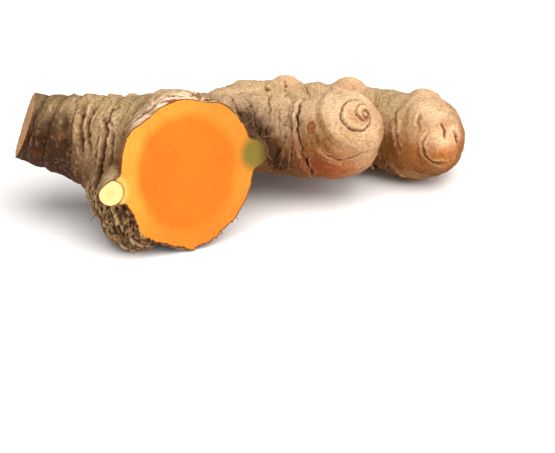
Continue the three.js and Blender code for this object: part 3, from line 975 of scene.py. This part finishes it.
def bark_share(points):
    """Where the skin is rough bark: low on the left of the cut face, and less so underneath."""
    behind = around_cut(points)[0]
    right = (points - CUT_CENTRE) @ CUT_RIGHT
    low = step(-(points[:, 2] - 15.5), -2.5, 4.5)
    left = step(-right, -9.0, -2.0)
    near = step(-behind, -17.0, -9.0)
    under = step(-(points[:, 2] - 6.0), -2.0, 4.0) * step(-(points[:, 1] - 26), -6, 4) * 0.6
    patchy = 0.8 + 0.4 * field(points, 5.0, 3.7)
    return np.clip(np.maximum(low * left * near, under) * patchy, 0, 1)


def off_line(points, normals, line):
    """How far points lie from a line over the skin, and the share of the line run by then."""
    nearest = np.full(len(points), FAR)
    run = np.zeros(len(points))
    for index, (start, end) in enumerate(zip(line, line[1:])):
        along = end - start
        t = np.clip((points - start) @ along / (along @ along), 0, 1)
        offset = points - start - t[:, None] * along
        rise = (offset * normals).sum(1)
        aside = np.linalg.norm(offset - normals * rise[:, None], axis=1)
        aside += 3 * np.maximum(np.abs(rise) - 1.8, 0)
        closer = aside < nearest
        nearest = np.where(closer, aside, nearest)
        run = np.where(closer, (index + t) / (len(line) - 1), run)
    return nearest, run


def press(away, depth, width, dark, lips):
    """A crease's height and darkness at distances from its middle."""
    height = lips * bump(np.abs(away) - 2.1 * width, 1.1 * width) - depth * bump(away, width)
    return height, dark * bump(away, 1.15 * width)


def named_marks(points, normals):
    """The creases, bud rings and root scars that are set out one by one: height and darkness."""
    wander = [field(points, 2.0, 11.0 + axis) + 0.5 * field(points, 0.8, 17.0 + axis) for axis in range(3)]
    shaken = points + 0.3 * np.stack(wander, 1)
    height, groove = np.zeros(len(points)), np.zeros(len(points))
    for line, shape in CREASES:
        away, run = off_line(shaken, normals, np.array(line, float))
        up, dark = press(away, *shape)
        faint = 1 - 0.75 * np.abs(2 * run - 1) ** 4
        height += up * faint
        groove += dark * faint
    for centre, radius, raised, shape in BUD_RINGS:
        offset = points - centre
        ahead = offset @ BUD_AXIS
        away = np.linalg.norm(offset - ahead[:, None] * BUD_AXIS, axis=1) - radius
        up, dark = press(away + 0.25 * wander[0], *shape)
        near = bump(ahead, 2.6)
        height += (up + raised * step(-away, 0.0, 0.8)) * near
        groove += dark * near * (0.75 + 0.5 * wander[1])
    draw = random.Random(7)
    spots = [FIRST_ROOT_SCAR]
    while len(spots) < ROOT_SCARS:
        spot = points[draw.randrange(len(points))]
        if spot[2] > 5 and around_cut(spot[None])[0][0] > 4:
            spots.append(spot)
    for spot in spots:
        size = draw.uniform(0.5, 0.95)
        away = apart(points, spot) / size
        height += 0.22 * size * bump(away - 1.25, 0.5) - 0.45 * size * bump(away, 0.8)
        groove += 0.75 * bump(away, 0.75)
    return height, groove


def skin_relief(points, normals, look):
    """The height of the skin over the bare solid, in mm, and what the material reads."""
    count = len(points)
    height = np.zeros(count)
    groove = np.zeros(count)
    age = np.zeros(count)
    rings = np.zeros((count, 3))
    total = np.full(count, 1e-6)
    for order, facts in enumerate(LIMBS):
        limb = Limb(**facts)
        s, angle, gap, inside = limb.locate(points)
        weight = bump(gap, LIMB_BLEND)
        near = weight > BARELY
        if not near.any():
            continue
        s, angle, place, w = s[near], angle[near], inside[near], weight[near]
        share = np.clip(s / limb.length, 0, 1)
        scar_depth, old = between(limb.scar_depth, share), between(limb.age, share)
        tangled = (0.34 + 0.5 * old) * field(place, 2.4, limb.seed) + 0.16 * field(place, 0.7, 2.5)
        broken = 0.25 + 0.75 * step(field(place, [4.0, 4.0, 9.0], limb.seed + 3.3), -0.5, 0.3)
        wrinkle = between(limb.wrinkle, share)
        up = np.zeros(len(s))
        dark = np.zeros(len(s))
        for at, lean, phase, depth, deepest in limb.scars:
            off = s - at - lean * np.cos(angle - phase) - tangled
            deep = depth * (1 + 0.55 * np.cos(angle - deepest)) * broken
            profile = 0.6 * bump(off + 0.65, 0.5) - 1.0 * bump(off, 0.22) + 0.2 * bump(off - 0.6, 0.4)
            up += scar_depth * deep * profile
            dark += bump(off, 0.22) * np.clip(2.6 * scar_depth * deep, 0, 0.8)
        across = limb.wrinkle_gap / 2
        shifted = place + np.stack([0 * s, 0 * s, 2.6 * old * field(place, 5.0, 4.4)], 1)
        ringed = field(shifted, [across * 4.2, across * 4.2, across], limb.seed + 0.5)
        finer = field(shifted, [across * 2.4, across * 2.4, across * 0.4], limb.seed + 7.5)
        folds = np.clip(1 - np.abs(ringed) * 2.4, 0, 1)
        cracks = np.clip(1 - np.abs(field(shifted, [1.9, 1.9, 1.5], limb.seed + 9.5)) * 3, 0, 1) * old
        up += wrinkle * (0.6 * ringed + 0.3 * finer - 0.5 * folds**3 - 0.5 * cracks**2)
        dark += (0.55 * folds**5 + 0.35 * cracks**3) * step(wrinkle * broken, 0.05, 0.5)
        height[near] += w * up
        groove[near] += w * dark
        age[near] += w * old
        rings[near] += w[:, None] * (place + [0, 0, order * TURN_SHIFT])
        total[near] += w
    for values in (height, groove, age):
        values /= total
    rings /= total[:, None]
    height *= step(total, 0.0, 0.3)
    named, darkness = named_marks(points, normals)
    height += named
    snout = bump(apart(points, SNOUT_CENTRE), SNOUT_RADIUS)
    groove = groove * (1 - 0.5 * snout) + darkness

    behind, out, turn = around_cut(points)
    arc = np.radians(turn) * RIM_RADIUS
    bark = bark_share(points)
    lumps = field(points, 5.2, 4.1) + 0.45 * field(points, 2.2, 8.3)
    height += look.lump_height / MM * (0.55 * lumps + 0.2 * field(points, 0.9, 1.9))
    unrolled = np.stack([behind, arc, out], 1)
    # Bark splits into strands that run round the rhizome, along the rim of the cut.
    strand = field(unrolled, [0.9, 8.0, 7.0], 6.1)
    shreds = field(points, 1.1, 2.2) + 0.6 * field(points, 0.55, 5.5)
    gaps = np.clip(1 - np.abs(strand) * 2.4, 0, 1)
    height += bark * look.bark_height / MM * (0.8 * strand + 0.3 * shreds - 0.8 * gaps**2)
    groove += bark * 0.6 * gaps**2

    # The knife leaves an even rim, but for the bark.
    height *= 1 - 0.65 * step(-behind, -2.8, -0.3) * step(-out, -22, -18) * (1 - step(bark, 0.1, 0.5))
    # It has pared the skin along the top of the rim and left it pale and fibrous.
    by_rim = step(-behind, -5.6, -1.6) * step(out, 10, 13)
    pared = by_rim * step(turn, -52, -30) * step(-turn, -36, -18)
    frayed = field(unrolled, [2.2, 0.9, 1.0], 7.7)
    height -= look.pared_depth / MM * pared * step(-behind, -5.0, 0.5)
    height += 0.14 * pared * frayed
    groove += 0.9 * pared * step(field(unrolled, [1.2, 2.6, 1.2], 3.3), 0.25, 0.6)
    scraped = pared * np.clip(1.0 + 0.8 * field(points, 1.8, 7.7), 0, 1)

    graze = bump(apart(points, GRAZE_CENTRE, GRAZE_SIZE), 1.0)
    graze *= 0.9 + 0.4 * field(points, 2.5, 5.9)
    oval = apart(points, OVAL_SCAR_CENTRE, OVAL_SCAR_SIZE)
    height += -0.35 * bump(oval, 0.75) + 0.2 * bump(oval - 1.15, 0.3)
    groove += 0.8 * bump(oval - 0.95, 0.25)
    graze = np.maximum(graze, 0.9 * bump(oval, 0.9))

    # The crevice beside the short finger is darkened: painted shade, partly dark root hairs.
    crevice = off_line(points, normals * 0, np.array(CREVICE, float))[0]
    crevice += 0.9 * field(points, 2.0, 3.9)
    crevice = np.maximum(bump(np.maximum(crevice - 1.2, 0), 2.4), 0.7 * bump(crevice, 7.6))
    height += 0.35 * crevice * field(points, [0.7, 0.7, 2.0], 1.4)
    bud_skin = np.maximum(snout, 0.6 * bump(apart(points, BUD_TOP), BUD_TOP_RADIUS))
    for facts in DORMANT_BUDS:
        top = np.array(facts["knots"][-1][:3]) + [0, 0, 1.5]
        bud_skin = np.maximum(bud_skin, 0.8 * bump(apart(points, top), DORMANT_BUD_RADIUS))

    old_end = step(age, 0.56, 0.78)
    lower = step(-points[:, 2], -32.0, -24.0)
    stain = old_end * (0.25 + 0.75 * lower) * step(field(points, 5.5, 9.1), -1.5, -0.1)
    stain *= 1 - 0.75 * step(points[:, 0], -27.5, -23.5)
    # Painted shade, partly the skin's own browner underside: downward-facing skin is made browner, though
    # less on the right of the short finger and by the mother, and so is the skin of the long finger where
    # the short one shades it.
    under = step(-normals[:, 2] + 0.16 * field(points, 4.0, 6.6), -1.02, -0.05)
    under *= 1 - 0.7 * bump(apart(points, RIGHT_CHEEK, RIGHT_CHEEK_SIZE), 1.0)
    under *= 1 - 0.7 * bump(apart(points, LIGHT_NECK, LIGHT_NECK_SIZE), 1.0)
    # Painted shade that the short finger casts on the long one.
    from_short = Limb(**SHORT_FINGER).locate(points)[2]
    shaded = step(from_short, 0.6, 1.8) * step(-from_short, -8.0, -3.0) * step(points[:, 0], 42, 46)
    under = np.maximum(under, 0.8 * shaded)
    return height, dict(
        groove=np.clip(groove, 0, 1),
        age=np.clip(age + 0.14 * field(points, 7.0, 2.9), 0, 1),
        bark=bark,
        strand=np.clip(0.5 + 0.45 * strand + 0.25 * shreds - 0.5 * gaps**2, 0, 1),
        scraped=np.clip(scraped, 0, 1),
        graze=np.clip(graze, 0, 0.9),
        stain=np.clip(stain, 0, 0.85),
        under=under,
        crevice=crevice,
        bud=np.clip(bud_skin, 0, 1),
        rings=rings * MM,
    )


def cut_flat(body, centre, normal, reach, spacing, slot):
    """Cuts the body again in a plane, closes it with faces of a material slot, and grids them."""
    mesh = body.data
    middles = to_limbs(read_values(mesh.polygons, "center", 3)) - centre
    ahead = middles @ normal
    pick_faces(body, (np.linalg.norm(middles, axis=1) < reach) & (ahead > -2.0))
    bpy.ops.object.mode_set(mode="EDIT")
    plane = dict(plane_co=tuple(to_frame(centre)), plane_no=tuple(normal))
    bpy.ops.mesh.bisect(**plane, use_fill=True, clear_outer=True)
    bpy.ops.object.mode_set(mode="OBJECT")
    middles = to_limbs(read_values(mesh.polygons, "center", 3)) - centre
    level = np.abs(middles @ normal) < LEVEL
    facing = np.abs(read_values(mesh.polygons, "normal", 3) @ normal) > FACING
    sliver = read_values(mesh.polygons, "area") < SLIVER
    flat = level & (facing | sliver) & (np.linalg.norm(middles, axis=1) < reach)
    if not flat.any():
        raise RuntimeError("the cut left no face in its plane")
    slots = np.zeros(len(mesh.polygons), np.int32)
    mesh.polygons.foreach_get("material_index", slots)
    slots[flat] = slot
    mesh.polygons.foreach_set("material_index", slots)
    body.active_material_index = slot
    right = np.cross([0, 0, 1.0], normal)
    right /= np.linalg.norm(right)
    bpy.ops.object.mode_set(mode="EDIT")
    for direction in (right, np.cross(normal, right)):
        for offset in np.arange(-reach, reach, spacing):
            bpy.ops.mesh.select_all(action="DESELECT")
            bpy.ops.object.material_slot_select()
            place = tuple(to_frame(centre + direction * offset))
            bpy.ops.mesh.bisect(plane_co=place, plane_no=tuple(direction))
    # The edge between the skin and the cut stays crisp.
    bpy.ops.mesh.select_all(action="DESELECT")
    bpy.ops.object.material_slot_select()
    bpy.ops.mesh.region_to_loop()
    bpy.ops.mesh.mark_sharp()
    bpy.ops.mesh.select_mode(type="FACE")
    bpy.ops.object.mode_set(mode="OBJECT")


def rim_distance(mesh, slot, points):
    """How far each vertex of a slot's faces lies from their rim, in mm."""
    used, sides = set(), {}
    for polygon in mesh.polygons:
        inside = polygon.material_index == slot
        if inside:
            used.update(polygon.vertices)
        for key in polygon.edge_keys:
            sides.setdefault(key, set()).add(inside)
    edges = np.array([key for key, found in sides.items() if len(found) == 2])
    start, run = points[edges[:, 0]], points[edges[:, 1]] - points[edges[:, 0]]
    distance = np.full(len(points), OFF_CUT)
    for index in used:
        offset = points[index] - start
        t = np.clip((offset * run).sum(1) / np.maximum((run**2).sum(1), 1e-9), 0, 1)
        distance[index] = np.linalg.norm(offset - run * t[:, None], axis=1).min()
    return distance, np.array(sorted(used))


def mother_share(points):
    """Distance from the middle of the cut face, as a share of the mother's outline there."""
    right = (points - CUT_CENTRE) @ CUT_RIGHT
    upward = (points - CUT_CENTRE) @ CUT_UP
    angle = np.arctan2(right, upward)
    outline = np.ones(len(points))
    for order, amount, degrees in MOTHER["lobes"]:
        outline += amount * np.cos(order * (angle - math.radians(degrees)))
    return np.hypot(right, upward) / (MOTHER_RADIUS * outline), angle


def shape_body(skin, flesh):
    body = copy_of_solid()
    apply_modifier(body, "grain", "REMESH", mode="VOXEL", voxel_size=skin.voxel)
    apply_modifier(body, "soften", "SMOOTH", factor=0.5, iterations=12)
    mesh = body.data
    places = vertex_places(mesh)
    normals = vertex_normals(mesh)
    points = to_limbs(places)
    height, marks = skin_relief(points, normals, skin)
    moved = points + normals * (height * skin.relief)[:, None]
    resting = points[:, 2] < RESTING
    moved[resting] = points[resting]
    moved[:, 2] = np.where(resting, 0.0, np.maximum(moved[:, 2], 0.0))
    for name, values in marks.items():
        keep(mesh, name, values)
    mesh.vertices.foreach_set("co", to_frame(moved).astype(np.float32).ravel())
    mesh.update()

    body.data.materials.append(corky_skin(skin))
    body.data.materials.append(cut_flesh(flesh))
    body.data.materials.append(snapped_flesh(flesh, skin))
    only(body)
    bpy.context.tool_settings.mesh_select_mode = (False, False, True)
    cut_flat(body, CUT_CENTRE, CUT_NORMAL, reach=24, spacing=0.6, slot=1)
    cut_flat(body, SNAP_CENTRE, SNAP_NORMAL, reach=12, spacing=0.5, slot=2)

    mesh = body.data
    points = to_limbs(vertex_places(mesh))
    normals = vertex_normals(mesh)
    cut_rim, cut = rim_distance(mesh, 1, points)
    snap_rim, snapped = rim_distance(mesh, 2, points)
    keep(mesh, "rim_mm", np.minimum(cut_rim, snap_rim))
    share, angle = mother_share(points)
    keep(mesh, "core_share", share)
    from_left = np.abs(np.degrees(angle) + 70)
    keep(mesh, "left_side", bump(np.minimum(from_left, 360 - from_left), 80))
    fine = hollows(mesh, points, normals, 3)
    broad = hollows(mesh, points, normals, 40)
    on_skin = np.ones(len(points))
    on_skin[cut] = 0
    on_skin[snapped] = 0
    # Painted shade in the hollows and painted highlights on the crests, from how sunken or raised each
    # vertex is.
    sunken = step(fine, 0.02, 0.16) * 0.55 + step(broad, 0.15, 0.7) * 0.6
    keep(mesh, "hollow", on_skin * np.clip(sunken, 0, 1))
    keep(mesh, "crest_wear_and_highlight", on_skin * np.clip(step(-fine, 0.02, 0.14) * 0.45, 0, 1))

    # The snapped end is torn: fibrous, and worn down towards its edge.
    torn = points[snapped]
    depth = step(snap_rim[snapped], 0.1, 1.2)
    rough = 0.5 * field(torn, 2.4, 1.3) + 0.3 * field(torn, 0.9, 5.1) - 0.25
    points[snapped] = torn + SNAP_NORMAL * (rough * depth)[:, None]
    # The knife leaves the wet flesh very slightly uneven.
    sliced = points[cut]
    dip = 0.05 * field(sliced, 3.5, 2.2) * step(cut_rim[cut], 0.3, 1.5)
    points[cut] = sliced - CUT_NORMAL * (0.05 - dip)[:, None] * step(cut_rim[cut], 0.0, 1.5)[:, None]
    mesh.vertices.foreach_set("co", np.clip(to_frame(points), *CAD_BOX).astype(np.float32).ravel())
    mesh.polygons.foreach_set("use_smooth", np.ones(len(mesh.polygons), bool))
    mesh.update()
    return body


def curled_fibre(look, curl, seed):
    """One root fibre, rooted at the origin and growing along +Z: a thin tapered strand."""
    draw = random.Random(seed)
    width, length = look.fibre_width, look.fibre_length
    bpy.ops.object.select_all(action="DESELECT")
    bpy.ops.mesh.primitive_circle_add(vertices=5, radius=width / 2, fill_type="NGON")
    fibre = bpy.context.object
    bpy.ops.object.mode_set(mode="EDIT")
    bpy.ops.mesh.select_all(action="SELECT")
    lean, heading = 0.0, draw.uniform(0, math.tau)
    at = Vector((0, 0, 0))
    for _ in range(6):
        lean += curl * draw.uniform(0.4, 1.3)
        heading += draw.uniform(-0.7, 0.7)
        move = Vector(
            (math.sin(lean) * math.cos(heading), math.sin(lean) * math.sin(heading), math.cos(lean))
        )
        move *= length / 6
        at += move
        bpy.ops.mesh.extrude_region_move(TRANSFORM_OT_translate={"value": tuple(move)})
        bpy.ops.transform.resize(value=(0.82, 0.82, 0.82), center_override=tuple(at))
    bpy.ops.mesh.select_all(action="SELECT")
    bpy.ops.mesh.normals_make_consistent(inside=False)
    bpy.ops.object.mode_set(mode="OBJECT")
    return fibre


def curled_flake(look, curl, seed):
    """One loose scale of skin, its root at the origin and lying along +Y: thin, torn and curled."""
    draw = random.Random(seed)
    size = look.flake_size
    bpy.ops.object.select_all(action="DESELECT")
    bpy.ops.mesh.primitive_plane_add(size=size, location=(0, size / 2, 0))
    flake = bpy.context.object
    bpy.ops.object.transform_apply(location=True, rotation=False, scale=False)
    bpy.ops.object.mode_set(mode="EDIT")
    bpy.ops.mesh.select_all(action="SELECT")
    bpy.ops.mesh.subdivide(number_cuts=5)
    bpy.ops.object.mode_set(mode="OBJECT")
    places = vertex_places(flake.data) / size
    along, across = places[:, 1].copy(), places[:, 0].copy()
    ragged = 0.3 * field(places * 3 + seed, 1.0) + 0.16 * field(places * 9 + seed, 1.0)
    narrow = 0.85 - 0.45 * along + ragged * along
    places[:, 0] = across * narrow * draw.uniform(0.5, 1.0)
    places[:, 1] = along * (1 + ragged * 0.9)
    places[:, 2] = curl * along**2 + 0.35 * across**2 + 0.06 * field(places * 5 + seed, 1.0)
    flake.data.vertices.foreach_set("co", (places * size).astype(np.float32).ravel())
    flake.data.update()
    apply_modifier(flake, "thickness", "SOLIDIFY", thickness=FLAKE_THICKNESS, offset=0.0)
    return flake


def scatter(body, samples, chance, number, seed, aim):
    """Copies of the samples, set on the body's skin: where, and which way each points, is drawn."""
    draw = random.Random(seed)
    places = vertex_places(body.data)
    normals = vertex_normals(body.data)
    weights = np.cumsum(np.clip(chance, 0, None))
    if weights[-1] <= 0:
        raise RuntimeError("there is nowhere on the skin for the loose pieces")
    copies = []
    for _ in range(number):
        index = int(np.searchsorted(weights, draw.random() * weights[-1]))
        sample = draw.choice(samples)
        up = Vector(normals[index])
        turn, size, sink = aim(draw, up, Vector(places[index]))
        root = Vector(places[index]) - up * sink
        copy = sample.copy()
        copy.data = sample.data.copy()
        copy.data.transform(Matrix.Translation(root) @ turn.to_4x4() @ Matrix.Diagonal((*size, 1.0)))
        bpy.context.scene.collection.objects.link(copy)
        copies.append(copy)
    for sample in samples:
        bpy.data.objects.remove(sample)
    bpy.ops.object.select_all(action="DESELECT")
    for copy in copies:
        copy.select_set(True)
    bpy.context.view_layer.objects.active = copies[0]
    bpy.ops.object.join()
    piece = bpy.context.object
    bpy.ops.object.shade_smooth()
    # None of it reaches through the floor or out of the hand's own box.
    places = np.clip(vertex_places(piece.data), *CAD_BOX)
    piece.data.vertices.foreach_set("co", places.astype(np.float32).ravel())
    piece.data.update()
    return piece


def basis(up, forward):
    """A turn that takes +Z to up and +Y as near to forward as it can."""
    right = forward.cross(up)
    if right.length < 1e-6:
        right = up.orthogonal()
    right.normalize()
    ahead = up.cross(right)
    return Matrix((right, ahead, up)).transposed()


def read_marks(body, name):
    return read_values(body.data.attributes[name].data, "value")


def regions(body):
    """Shares for every vertex of how much it belongs to the places where loose bits sit."""
    points = to_limbs(vertex_places(body.data))
    skin = (read_marks(body, "rim_mm") == OFF_CUT).astype(float)
    behind, out, turn = around_cut(points)
    at_rim = skin * step(-behind, -2.2, -0.5) * step(out, 12, 14.5) * step(-out, -22, -19)
    return dict(
        low=skin * read_marks(body, "bark"),
        top_spikes=skin * bump(behind - 1.6, 1.6) * step(out, 10, 13) * bump(turn - 22, 10),
        low_rim=at_rim * np.maximum(bump(turn + 125, 40), 0.5 * bump(turn - 165, 25)),
        crevice=skin * read_marks(body, "crevice") * step(points[:, 2], 3, 6),
        rings=skin * read_marks(body, "groove") * step(points[:, 2], 3, 6),
    )


class TURMERIC_OT_root_body(bpy.types.Operator):
    """Model the hand itself: its skin, its cut face and its snapped end"""

    bl_idname = "turmeric.root_body"
    bl_label = "Root"

    def execute(self, context):
        body = shape_body(context.scene.turmeric_skin, context.scene.turmeric_flesh)
        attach(body, "root")
        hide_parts(NODE)
        return {"FINISHED"}


class TURMERIC_OT_root_fibres(bpy.types.Operator):
    """Set fine root fibres on the bark, at the rim and in the crevice beside the short finger"""

    bl_idname = "turmeric.root_fibres"
    bl_label = "Root fibres"

    def execute(self, context):
        look = context.scene.turmeric_loose
        body = bpy.data.objects["root_body"]
        places = regions(body)
        chance = places["low"] + 8.0 * places["top_spikes"] + 2.2 * places["low_rim"]
        chance += 2.2 * places["crevice"]
        samples = [curled_fibre(look, curl, seed) for seed, curl in enumerate((0.12, 0.25, 0.4, 0.05))]

        def aim(draw, up, root):
            lean = Vector([draw.uniform(-1, 1) for _ in range(3)])
            lean = (up + lean * 0.9 + Vector((0, 0, -0.25))).normalized()
            if lean.dot(up) < 0.25:
                lean = (lean + up * 0.6).normalized()
            width = draw.uniform(0.6, 1.4)
            length = draw.uniform(0.35, 1.5)
            length = min(length, max(0.25, root.z / look.fibre_length * 0.8))
            turn = basis(lean, Vector([draw.uniform(-1, 1) for _ in range(3)]))
            return turn, (width, width, length), FIBRE_SINK

        fibres = scatter(body, samples, chance, look.fibres, 3, aim)
        fibres.name = "root_fibres"
        fibres.data.materials.append(dry_scrap("Dry root fibre", look.fibre, 2500.0))
        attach(fibres, "root")
        return {"FINISHED"}


class TURMERIC_OT_skin_flakes(bpy.types.Operator):
    """Set loose, curled scales of skin along the rim, on the bark and in the leaf scars"""

    bl_idname = "turmeric.skin_flakes"
    bl_label = "Skin flakes"

    def execute(self, context):
        look = context.scene.turmeric_loose
        body = bpy.data.objects["root_body"]
        places = regions(body)
        chance = 0.7 * places["low"] + 12.0 * places["top_spikes"] + 3.0 * places["low_rim"]
        chance += 0.12 * places["rings"]
        samples = [curled_flake(look, curl, seed) for seed, curl in enumerate((0.15, 0.35, 0.55, 0.25), 5)]

        def aim(draw, up, root):
            flat = Vector([draw.uniform(-1, 1) for _ in range(3)])
            flat = (flat - up * flat.dot(up)).normalized()
            lift = draw.uniform(0.05, 0.5)
            ahead = (flat + up * lift).normalized()
            size = draw.uniform(0.45, 1.1)
            turn = basis((up - ahead * up.dot(ahead)).normalized(), ahead)
            return turn, (size, size, max(size, 0.7)), FLAKE_SINK

        flakes = scatter(body, samples, chance, look.flakes, 11, aim)
        flakes.name = "skin_flakes"
        flakes.data.materials.append(dry_scrap("Dry scale of skin", look.flake, 1400.0))
        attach(flakes, "root")
        return {"FINISHED"}


class TURMERIC_OT_stage(bpy.types.Operator):
    """Set the white floor, the soft lights and the camera"""

    bl_idname = "turmeric.stage"
    bl_label = "Stage"

    def execute(self, context):
        look = context.scene.turmeric_stage
        bpy.ops.object.select_all(action="DESELECT")
        bpy.ops.mesh.primitive_plane_add(size=look.floor_size, location=(0, 0, 0))
        floor = context.object
        floor.name = "floor"
        floor.data.materials.append(white_board(look))

        world = bpy.data.worlds.new("Studio")
        world.use_nodes = True
        sky = world.node_tree.nodes["Background"]
        sky.inputs["Color"].default_value = (1.0, 0.985, 0.97, 1.0)
        sky.inputs["Strength"].default_value = look.daylight
        context.scene.world = world

        target = Vector(look.target)
        for name, place, size, power, colour in (
            ("Key", (0.5, -0.2, 0.46), 0.75, look.key, (1.0, 0.985, 0.96)),
            ("Top", (0.0, -0.2, 0.73), 0.8, look.top, (1.0, 0.99, 0.98)),
            ("Front", (0.1, -0.75, 0.28), 0.7, look.front, (1.0, 0.99, 0.98)),
        ):
            bpy.ops.object.light_add(type="AREA", location=place)
            lamp = context.object
            lamp.name = name
            lamp.data.size = size
            lamp.data.energy = power
            lamp.data.color = colour
            lamp.rotation_euler = (target - Vector(place)).to_track_quat("-Z", "Y").to_euler()

        back = Vector((0, -math.cos(look.elevation), math.sin(look.elevation)))
        bpy.ops.object.camera_add(location=target + back * look.distance)
        camera = context.object
        camera.rotation_euler = (-back).to_track_quat("-Z", "Y").to_euler()
        camera.data.lens = look.lens
        camera.data.sensor_width = 36.0
        camera.data.clip_start = 0.01
        camera.data.clip_end = 20.0
        context.scene.camera = camera
        context.scene.view_settings.view_transform = "Standard"
        return {"FINISHED"}


class TURMERIC_PT_panel(bpy.types.Panel):
    """The turmeric hand's pieces, with their sizes and colours"""

    bl_label = "Turmeric hand"
    bl_idname = "TURMERIC_PT_panel"
    bl_space_type = "VIEW_3D"
    bl_region_type = "UI"
    bl_category = "Turmeric"

    def draw(self, context):
        for name, group in SETTINGS.items():
            column = self.layout.column()
            for setting in group.__annotations__:
                column.prop(getattr(context.scene, name), setting)
        for operator in OPERATORS:
            self.layout.operator(operator.bl_idname)


SETTINGS = {
    "turmeric_skin": SkinSettings,
    "turmeric_flesh": FleshSettings,
    "turmeric_loose": LooseSettings,
    "turmeric_stage": StageSettings,
}
OPERATORS = (
    TURMERIC_OT_root_body,
    TURMERIC_OT_root_fibres,
    TURMERIC_OT_skin_flakes,
    TURMERIC_OT_stage,
)
CLASSES = (*SETTINGS.values(), *OPERATORS, TURMERIC_PT_panel)


def register():
    for group in CLASSES:
        bpy.utils.register_class(group)
    for name, group in SETTINGS.items():
        setattr(bpy.types.Scene, name, bpy.props.PointerProperty(type=group))


def unregister():
    for name in SETTINGS:
        delattr(bpy.types.Scene, name)
    for group in reversed(CLASSES):
        bpy.utils.unregister_class(group)


def main():
    register()
    bpy.ops.turmeric.root_body()
    bpy.ops.turmeric.root_fibres()
    bpy.ops.turmeric.skin_flakes()
    bpy.ops.turmeric.stage()


if __name__ == "__main__":
    main()
